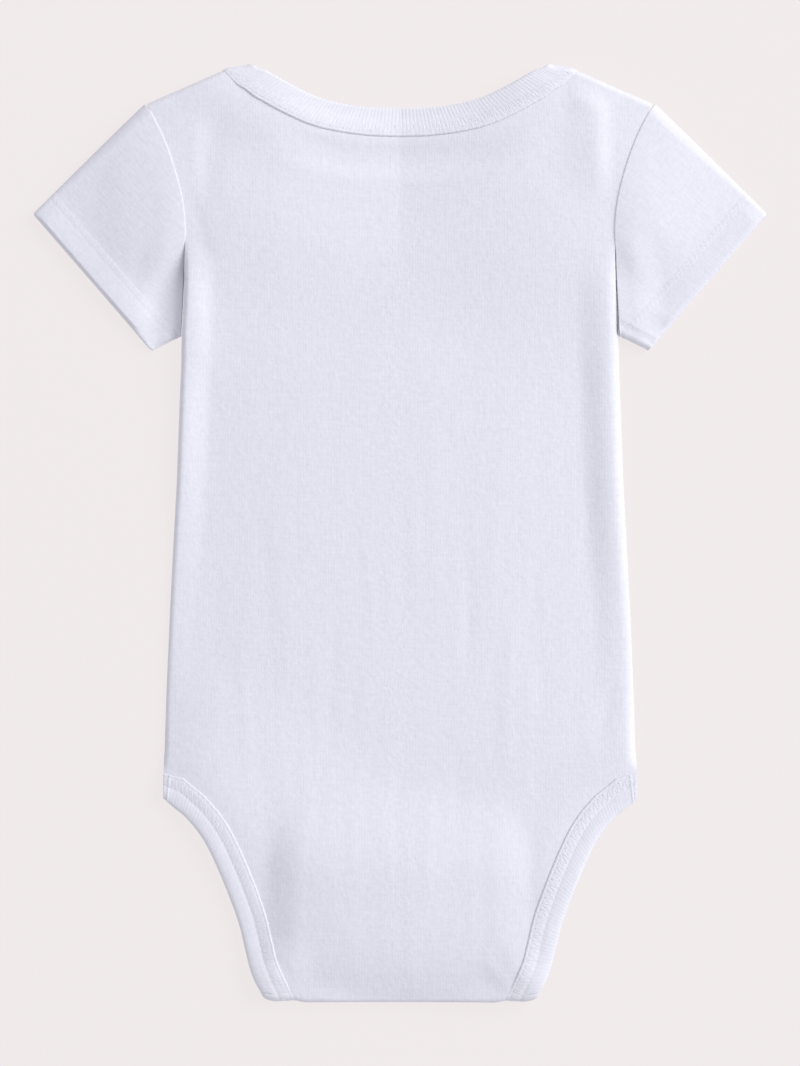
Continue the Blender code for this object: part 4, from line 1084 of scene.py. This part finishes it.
ARMHOLE_EDGE = np.vstack((ARMHOLE_LINE, [SHOULDER_CORNER]))[::-1] + (GAP, 0)
SAMPLES = np.linspace(0.0, 1.0, 41)
ARMHOLE_POINTS = spread(ARMHOLE_EDGE, 40)
CUFF_POINTS = spread(CUFF_LINE, 40)
SLEEVE_REACH = np.linalg.norm(CUFF_POINTS - ARMHOLE_POINTS, axis=1)
AROUND = 78.0              # the knit's rows once along a flat side of the sleeve


def armhole_top(dip_height):
    """Height of the sleeve's top cloth along the armhole: over the back's, but under its roll."""
    inside = ARMHOLE_POINTS - (GAP + CLOTH, 0)
    dip = mound(ARMHOLE_POINTS[:, 1] - ARMPIT_Y, SEAM_RISE)
    top = back_height(inside) + SEAM_STEP
    return top + (dip_height - top) * dip


ARMHOLE_TOPS = {-1: armhole_top(LEFT_DIP), 1: armhole_top(RIGHT_DIP)}


def sleeve_top(share, length, side):
    """Height of the middle of the sleeve's top cloth; the left one starts in a hollow."""
    reach = length * np.interp(share, SAMPLES, SLEEVE_REACH)
    start = np.interp(share, SAMPLES, ARMHOLE_TOPS[side])
    late = 1.0 - mound(length, WHOLE)
    soon = 1.0 - mound(reach, HOLLOW_RISE)
    change = soon + (late - soon) * mound(share, DIP_START)
    puff = np.sin(math.pi * share) * np.sin(math.pi * np.clip(length, 0.0, 1.0))
    puff *= PUFF * mound(share, PUFF_END)
    return start * (1 - change) + CUFF_HEIGHT * change + puff


def sleeve_plan(share, length):
    """Plan point of the flat tube: share 0 at the shoulder fold and 1 at the underarm."""
    points = []
    for axis in (0, 1):
        start = np.interp(share, SAMPLES, ARMHOLE_POINTS[:, axis])
        end = np.interp(share, SAMPLES, CUFF_POINTS[:, axis])
        points.append(start * (1 - length) + end * length)
    return np.column_stack(points)


def sleeve_width(length):
    start = places(ARMHOLE_POINTS)[-1]
    return start + (places(CUFF_POINTS)[-1] - start) * length


def sleeve_section(length, side):
    """The middle of the sleeve's cloth, once round: the fold, the top, the underarm, the table."""
    width = sleeve_width(length)
    fold = (sleeve_top(0.0, length, side) - REST) / 2
    under = (sleeve_top(1.0, length, side) - REST) / 2
    place = np.empty(ROUND_STEPS)
    z = np.full(ROUND_STEPS, REST)
    ends = (FOLD_END, fold, 0.0 * width, 1), (UNDERARM_END, under, width, -1)
    for end, half, edge, way in ends:
        place[end] = edge[end] + way * half[end] * (1 - np.sin(END_ANGLES))
        z[end] = REST + half[end] * (1 - way * np.cos(END_ANGLES))
    span = width - fold - under
    place[TOP_SIDE] = fold[TOP_SIDE] + span[TOP_SIDE] * FLAT_SHARES
    place[TABLE_SIDE] = fold[TABLE_SIDE] + span[TABLE_SIDE] * (1 - FLAT_SHARES)
    share = place / width
    z[TOP_SIDE] = sleeve_top(share[TOP_SIDE], length[TOP_SIDE], side)
    plan = sleeve_plan(share, length)
    wrinkle = waver(plan, SLEEVE_SWELLS[side]) + waver(plan, SLEEVE_DIMPLES)
    wrinkle *= 1.0 - mound(np.minimum(place, width - place), SLEEVE_RELIEF_SIDE)
    wrinkle *= np.clip(length * RELIEF_START, 0.0, 1.0)
    wrinkle *= np.clip((1.0 - length) * RELIEF_END, 0.0, 1.0)
    z[TOP_SIDE] += wrinkle[TOP_SIDE]
    z[TABLE_SIDE] += TABLE_RELIEF * np.abs(wrinkle[TABLE_SIDE])
    high = np.clip((z - LAP_START) / LAP_SPAN, 0.0, 1.0) * mound(share, LAP_END)
    lap = np.maximum(high, LAP_AT_FOLD * mound(share, FOLD_LAP))
    plan[:, 0] -= SEAM_LAP * (1 - length) ** 2 * lap
    return np.column_stack((plan, z))


def sleeve_lengths():
    """Distance from the armhole to the cuff for every point round a section."""
    flat = np.interp(FLAT_SHARES, SAMPLES, SLEEVE_REACH)
    fold, under = np.full(END_STEPS, SLEEVE_REACH[0]), np.full(END_STEPS, SLEEVE_REACH[-1])
    return np.concatenate((fold, flat, under, flat[::-1]))


def hem_relief(from_cuff, around):
    """The hem swells towards the cuff; two needle rows hold it, with slanted puckers between."""
    inset = np.minimum(around, AROUND - around)
    swell = HEM_HEIGHT * mound(from_cuff, HEM_SWELL) * (1.0 - mound(inset, SLEEVE_RELIEF_SIDE))
    grooves = sum(np.exp(-((from_cuff - row) / GROOVE_WIDTH) ** 2) for row in HEM_NEEDLES)
    between = mound(np.abs(from_cuff - np.mean(HEM_NEEDLES)), NEEDLE_SPAN)
    slant = np.cos((around / STITCH + from_cuff / PUCKER_SLANT) * 2 * math.pi)
    return swell + between * HEM_PUCKER * (1.0 + slant) - GROOVE_DEPTH * grooves


def underarm_relief():
    """The underarm seam sinks in a line beside the lower edge, and the cloth beyond it is lower."""
    inset = (1.0 - FLAT_SHARES) * places(CUFF_POINTS)[-1]
    seam = np.exp(-((inset - UNDERARM_SEAM) / UNDERARM_WIDTH) ** 2)
    relief = np.zeros(ROUND_STEPS)
    relief[TOP_SIDE] = -UNDERARM_SINK * seam - UNDERARM_DROP * mound(inset, UNDERARM_STEP)
    relief[UNDERARM_END] = -UNDERARM_DROP * (1.0 - np.arange(END_STEPS) / END_STEPS)
    return relief


def sleeve_rows(reach):
    """Rows of the sleeve's cloth as (distance from the cuff for each point, height)."""
    half = CLOTH / 2
    inside = -half - GAP - CLOTH
    middle = (half + inside) / 2
    fine = HEM + HEM_EASE
    outer = [fine + (reach - fine) * (1 - k / OUTER_ROWS) for k in range(OUTER_ROWS)]
    outer += [*np.arange(fine, 8.6, -0.36), 8.0, 6.6, 5.0, 3.4, 2.2, 1.3]
    rows = [(reach, -0.42), (reach - 0.04, 0.1), (reach - 0.15, 0.34), (reach - 0.4, half)]
    rows += [(np.minimum(row, reach - 0.8), half) for row in outer]
    rows += [(row, middle + (half - middle) * turn) for row, turn in (
        (0.6, 0.86), (0.2, 0.5), (0.0, 0.0), (0.2, -0.5), (0.6, -0.86))]
    rows += [(row, inside) for row in (1.3, 4.0, 8.0, HEM - 0.2)]
    rows += [(row, -half - GAP) for row in (HEM, 8.0, 4.0, 1.3)]
    rows += [(row, -half) for row in (1.3, 4.0, 8.0, HEM)]
    rows += [(HEM + (reach - HEM) * k / INNER_ROWS, -half) for k in range(1, INNER_ROWS)]
    rows.append((reach - 0.3, -half - 0.3))
    return [(np.broadcast_to(row, reach.shape), height) for row, height in rows]


def sleeve_frame(from_cuff, reach, side):
    """The middle of the sleeve's cloth and its outward directions at a distance from the cuff."""
    length = 1 - from_cuff / reach
    step = SLEEVE_PROBE / reach
    middle = sleeve_section(length, side)
    along = sleeve_section(length + step, side) - sleeve_section(length - step, side)
    ring = np.roll(middle, -1, axis=0) - np.roll(middle, 1, axis=0)
    normal = np.cross(ring, along)
    return middle, normal / np.linalg.norm(normal, axis=1)[:, None]


def hem_stitches(reach, around, side):
    """Two needle rows round the hem and the thread between them, twice as fine as the cloth."""
    count = len(reach)
    steps = np.arange(2 * count + 1) / 2
    along = steps * AROUND / FLAT_STEPS
    sides = []
    for row in HEM_NEEDLES:
        from_cuff = np.full(count, row)
        middle, normal = sleeve_frame(from_cuff, reach, side)
        rise = CLOTH / 2 + hem_relief(from_cuff, around) + underarm_relief()
        both = np.column_stack((middle + rise[:, None] * normal, normal))
        both = np.vstack((both, both[:1]))
        sides.append(np.column_stack([np.interp(steps, np.arange(count + 1), column)
                                      for column in both.T]))
    paths = []
    for place in sides:
        normal = place[:, 3:]
        paths.append((place[:, :3] + needle_lift(along)[:, None] * normal, normal))
    share = crossing(along)
    across = sides[0] + (sides[1] - sides[0]) * share[:, None]
    normal = across[:, 3:]
    paths.append((across[:, :3] + cover_lift(share)[:, None] * normal, normal))
    return paths


def make_sleeves(jersey, thread):
    """Two tubes of cloth with the hem turned in at the cuff."""
    reach = sleeve_lengths()
    around = np.arange(len(reach)) * AROUND / FLAT_STEPS
    pieces = {}
    for name, side in HALVES:
        rings, grains = [], []
        for from_cuff, height in sleeve_rows(reach):
            middle, normal = sleeve_frame(from_cuff, reach, side)
            rise = np.full(len(reach), float(height))
            if height == CLOTH / 2:
                rise += hem_relief(from_cuff, around) + underarm_relief()
            rings.append(middle + rise[:, None] * normal)
            grains.append(np.column_stack((around, from_cuff)))
        points = np.vstack(rings)
        index = np.arange(len(points)).reshape(len(rings), -1)
        index = np.vstack((index, index[:1]))
        faces = quads(np.column_stack((index, index[:, 0])))
        sleeve = make_piece(f"short_sleeve_{name}", points * (side, 1, 1),
                            faces[:, ::side].tolist(), jersey, np.vstack(grains))
        paths = [(path * (side, 1, 1), normal * (side, 1, 1))
                 for path, normal in hem_stitches(reach, around, side)]
        rows = sewing(f"{sleeve.name}_stitches", paths, thread)
        pieces[f"sleeve_{name}"] = sleeve
    return pieces


# ------------------------------------------------------------------ the snaps
SOCKET = [(0.0, 0.0), (3.9, 0.0), (4.4, 0.1), (4.7, 0.35), (4.75, 0.6), (4.6, 0.9), (4.3, 1.0),
          (1.9, 1.0), (1.9, 2.6), (4.3, 2.6), (4.55, 2.8), (4.6, 3.3), (4.4, 3.8), (4.1, 3.9),
          (2.7, 3.9), (2.3, 3.8), (2.1, 3.5), (2.1, 2.9), (0.0, 2.9)]
STUD = [(0.0, 3.2), (1.3, 3.2), (1.6, 3.35), (1.7, 3.6), (1.6, 4.2), (4.3, 4.2), (4.55, 4.4),
        (4.6, 4.8), (4.4, 5.2), (1.9, 5.2), (1.9, 6.8), (4.3, 6.8), (4.7, 7.0), (4.8, 7.3),
        (4.6, 7.65), (4.2, 7.8), (0.0, 7.8)]
SNAP_SIDES = 48


def turned(name, x, profile, material):
    """A solid turned about an upright axis; both profile ends are on the axis."""
    angle = 2 * math.pi * np.arange(SNAP_SIDES) / SNAP_SIDES
    round_about = np.column_stack((np.cos(angle), np.sin(angle)))
    rings = [np.column_stack((round_about * radius + (x, SNAP_Y), np.full(SNAP_SIDES, z)))
             for radius, z in profile[1:-1]]
    ends = [(x, SNAP_Y, profile[0][1]), (x, SNAP_Y, profile[-1][1])]
    points = np.vstack((ends, *rings))
    index = 2 + np.arange(SNAP_SIDES * len(rings)).reshape(len(rings), -1)
    index = np.column_stack((index, index[:, 0]))
    faces = quads(index).tolist()
    first, last = index[0].tolist(), index[-1].tolist()
    faces += [[0, b, a] for a, b in zip(first, first[1:])]
    faces += [[1, a, b] for a, b in zip(last, last[1:])]
    return make_piece(name, points, faces, material)


def make_snaps(metal):
    pieces = {}
    for k in range(3):
        x = (k - 1) * SNAP_SPACING
        pieces[f"snap_socket_{k + 1}"] = turned(f"socket_{k + 1}", x, SOCKET, metal)
        pieces[f"snap_stud_{k + 1}"] = turned(f"stud_{k + 1}", x, STUD, metal)
    return pieces


# ------------------------------------------------------------------ finishes
RIB_DRIFT = 0.8            # the ribs wander sideways by up to this much
COURSE_TURN = 6.5          # radians in each millimetre, for the rows of knitted stitches


def set_inputs(node, values):
    """Give a node's inputs fixed values by name."""
    for name, value in values.items():
        node.inputs[name].default_value = value


def calculate(tree, operation, *values):
    """The result of a sum in a node tree; each value is a number or a socket."""
    node = tree.nodes.new("ShaderNodeMath")
    node.operation = operation
    for socket, value in zip(node.inputs, values):
        if isinstance(value, (int, float)):
            socket.default_value = value
        else:
            tree.links.new(value, socket)
    return node.outputs[0]


def noise(tree, grain, across, along):
    """Noise from 0 to 1 with blots about `across` by `along` millimetres in size."""
    scaled = tree.nodes.new("ShaderNodeVectorMath")
    scaled.operation = "MULTIPLY"
    scaled.inputs[1].default_value = (1 / across, 1 / along, 1.0)
    tree.links.new(grain, scaled.inputs[0])
    node = tree.nodes.new("ShaderNodeTexNoise")
    set_inputs(node, {"Scale": 1.0, "Detail": 1.0})
    tree.links.new(scaled.outputs[0], node.inputs["Vector"])
    return node.outputs["Fac"]


def knit_group():
    """The face of a rib-knit cloth, with painted shade in the hollows between its ribs; Grain is in
    millimetres across and along its ribs.
    """
    group = bpy.data.node_groups.new("rib_knit", "ShaderNodeTree")
    for name, way, kind in (("Grain", "INPUT", "Vector"), ("Pitch", "INPUT", "Float"),
                            ("Ribs", "INPUT", "Float"), ("Relief", "OUTPUT", "Float"),
                            ("Mottle and rib shade", "OUTPUT", "Float")):
        group.interface.new_socket(name, in_out=way, socket_type=f"NodeSocket{kind}")
    start = group.nodes.new("NodeGroupInput")
    end = group.nodes.new("NodeGroupOutput")
    grain, pitch, ribs = (start.outputs[name] for name in ("Grain", "Pitch", "Ribs"))
    parts = group.nodes.new("ShaderNodeSeparateXYZ")
    group.links.new(grain, parts.inputs[0])
    drift = calculate(group, "MULTIPLY", noise(group, grain, 9.0, 30.0), RIB_DRIFT)
    across = calculate(group, "ADD", parts.outputs[0], drift)
    turns = calculate(group, "MULTIPLY", calculate(group, "DIVIDE", across, pitch), 2 * math.pi)
    wale = calculate(group, "MULTIPLY", calculate(group, "COSINE", turns), ribs)
    rows = calculate(group, "MULTIPLY", parts.outputs[1], COURSE_TURN)
    course = calculate(group, "COSINE", rows)
    slubs = calculate(group, "ADD", noise(group, grain, 1.4, 7.0), noise(group, grain, 6.0, 1.3))
    blots = calculate(group, "ADD", noise(group, grain, 1.4, 1.5), noise(group, grain, 2.6, 3.0))
    relief = calculate(group, "MULTIPLY", wale, 0.022)
    relief = calculate(group, "MULTIPLY_ADD", course, 0.004, relief)
    relief = calculate(group, "MULTIPLY_ADD", slubs, 0.05, relief)
    relief = calculate(group, "MULTIPLY_ADD", blots, 0.09, relief)
    group.links.new(relief, end.inputs["Relief"])
    # Random slubs and blots of the yarn's colour, plus painted shade: the wale term darkens the
    # hollows between the ribs.
    mottle_and_rib_shade = calculate(group, "MULTIPLY_ADD", wale, 0.10, calculate(group, "MULTIPLY", slubs, 0.8))
    mottle_and_rib_shade = calculate(group, "MULTIPLY_ADD", blots, 1.2, calculate(group, "SUBTRACT", mottle_and_rib_shade, 1.5))
    group.links.new(mottle_and_rib_shade, end.inputs["Mottle and rib shade"])
    return group


def knitted(name, knit, light, dark, pitch, ribs, relief):
    """A cotton knit: `light` on the ribs and `dark` in the hollows, which is painted shade, mixed
    with random slubs and blots.
    """
    material = bpy.data.materials.new(name)
    material.use_nodes = True
    tree = material.node_tree
    shader = tree.nodes["Principled BSDF"]
    set_inputs(shader, {"Roughness": 0.92, "Sheen Weight": 0.12, "Sheen Roughness": 0.45,
                        "Specular IOR Level": 0.2})
    grain = tree.nodes.new("ShaderNodeAttribute")
    grain.attribute_name = "grain"
    face = tree.nodes.new("ShaderNodeGroup")
    face.node_tree = knit
    set_inputs(face, {"Pitch": pitch, "Ribs": ribs})
    tree.links.new(grain.outputs["Vector"], face.inputs["Grain"])
    # Painted shade in the rib hollows and random mottle, mixed into the base colour.
    tint = tree.nodes.new("ShaderNodeMix")
    tint.data_type = "RGBA"
    set_inputs(tint, {"A": (*dark, 1.0), "B": (*light, 1.0)})
    tree.links.new(face.outputs["Mottle and rib shade"], tint.inputs["Factor"])
    tree.links.new(tint.outputs["Result"], shader.inputs["Base Color"])
    bump = tree.nodes.new("ShaderNodeBump")
    set_inputs(bump, {"Strength": relief, "Distance": MM})
    tree.links.new(face.outputs["Relief"], bump.inputs["Height"])
    tree.links.new(bump.outputs["Normal"], shader.inputs["Normal"])
    return material


def plain(name, color, roughness, metallic=0.0):
    material = bpy.data.materials.new(name)
    material.use_nodes = True
    set_inputs(material.node_tree.nodes["Principled BSDF"],
               {"Base Color": (*color, 1.0), "Roughness": roughness, "Metallic": metallic})
    return material


# ------------------------------------------------------------------ table, light and camera
TABLE_COLOR = (0.871, 0.823, 0.823)
TABLE_REACH = 1.6          # from its middle to each side, in metres like the next three
TABLE_DROP = 0.0002        # under the garment
LIGHT_DISTANCE = 3.0
MIDDLE_HEIGHT = 0.004      # of the garment over the table
VIEW_HEIGHT = 458.4        # what the camera sees along +Y at that height, in millimetres


def make_table():
    mesh = bpy.data.meshes.new("table")
    corners = [(x * TABLE_REACH, y * TABLE_REACH, 0) for x, y in (
        (-1, -1), (1, -1), (1, 1), (-1, 1))]
    mesh.from_pydata(corners, [], [(0, 1, 2, 3)])
    material = plain("pale_table", (0.10, 0.095, 0.095), roughness=1.0)
    set_inputs(material.node_tree.nodes["Principled BSDF"],
               {"Specular IOR Level": 0.0, "Emission Color": (*TABLE_COLOR, 1.0),
                "Emission Strength": 0.9})
    mesh.materials.append(material)
    table = bpy.data.objects.new("table", mesh)
    bpy.context.scene.collection.objects.link(table)
    table.location.z = -TABLE_DROP


def soft_light(name, direction, size, power, color):
    """A square light beside the garment, in a direction given as x, y, z."""
    lamp = bpy.data.lights.new(name, "AREA")
    lamp.size = size
    lamp.energy = power
    lamp.color = color
    light = bpy.data.objects.new(name, lamp)
    way = np.array(direction, float)
    way /= np.linalg.norm(way)
    light.location = way * LIGHT_DISTANCE
    light.rotation_euler = (0, math.acos(way[2]), math.atan2(way[1], way[0]))
    bpy.context.scene.collection.objects.link(light)


def make_light():
    world = bpy.data.worlds.new("studio")
    world.use_nodes = True
    set_inputs(world.node_tree.nodes["Background"],
               {"Color": (0.95, 0.95, 1.0, 1.0), "Strength": 0.615})
    bpy.context.scene.world = world
    soft_light("window", (0.80, 0.38, 0.62), size=2.0, power=67.5, color=(0.97, 0.97, 1.0))
    bpy.context.scene.view_settings.view_transform = "Standard"


def make_camera():
    lens = bpy.data.cameras.new("overhead")
    lens.lens = 120.0
    lens.sensor_width = 36.0
    lens.clip_end = 10.0
    camera = bpy.data.objects.new("overhead", lens)
    height = VIEW_HEIGHT * MM * lens.lens / lens.sensor_width + MIDDLE_HEIGHT
    camera.location = (0.0, 0.0, height)
    bpy.context.scene.collection.objects.link(camera)
    bpy.context.scene.camera = camera


# ------------------------------------------------------------------ the whole garment
def main():
    knit = knit_group()
    light, dark = (0.832, 0.83, 0.895), (0.782, 0.78, 0.85)
    jersey = knitted("white_rib_jersey", knit, light, dark,
                     pitch=WALE_PITCH, ribs=0.32, relief=1.0)
    sleeve = knitted("white_sleeve_jersey", knit, light, dark,
                     pitch=WALE_PITCH, ribs=0.15, relief=0.9)
    rib = knitted("white_rib_binding", knit, (0.842, 0.84, 0.90), (0.792, 0.79, 0.86),
                  pitch=RIB_PITCH, ribs=0.6, relief=0.7)
    thread = knitted("white_thread", knit, (0.87, 0.87, 0.91), (0.80, 0.80, 0.86),
                     pitch=0.5, ribs=1.0, relief=0.4)
    metal = plain("satin_nickel", (0.72, 0.73, 0.75), roughness=0.35, metallic=1.0)
    pieces = {**make_back(jersey, rib, thread), **make_front(jersey, rib, thread),
              **make_sleeves(sleeve, thread), **make_snaps(metal)}
    for node, piece in pieces.items():
        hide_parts(node)
    make_table()
    make_light()
    make_camera()


main()
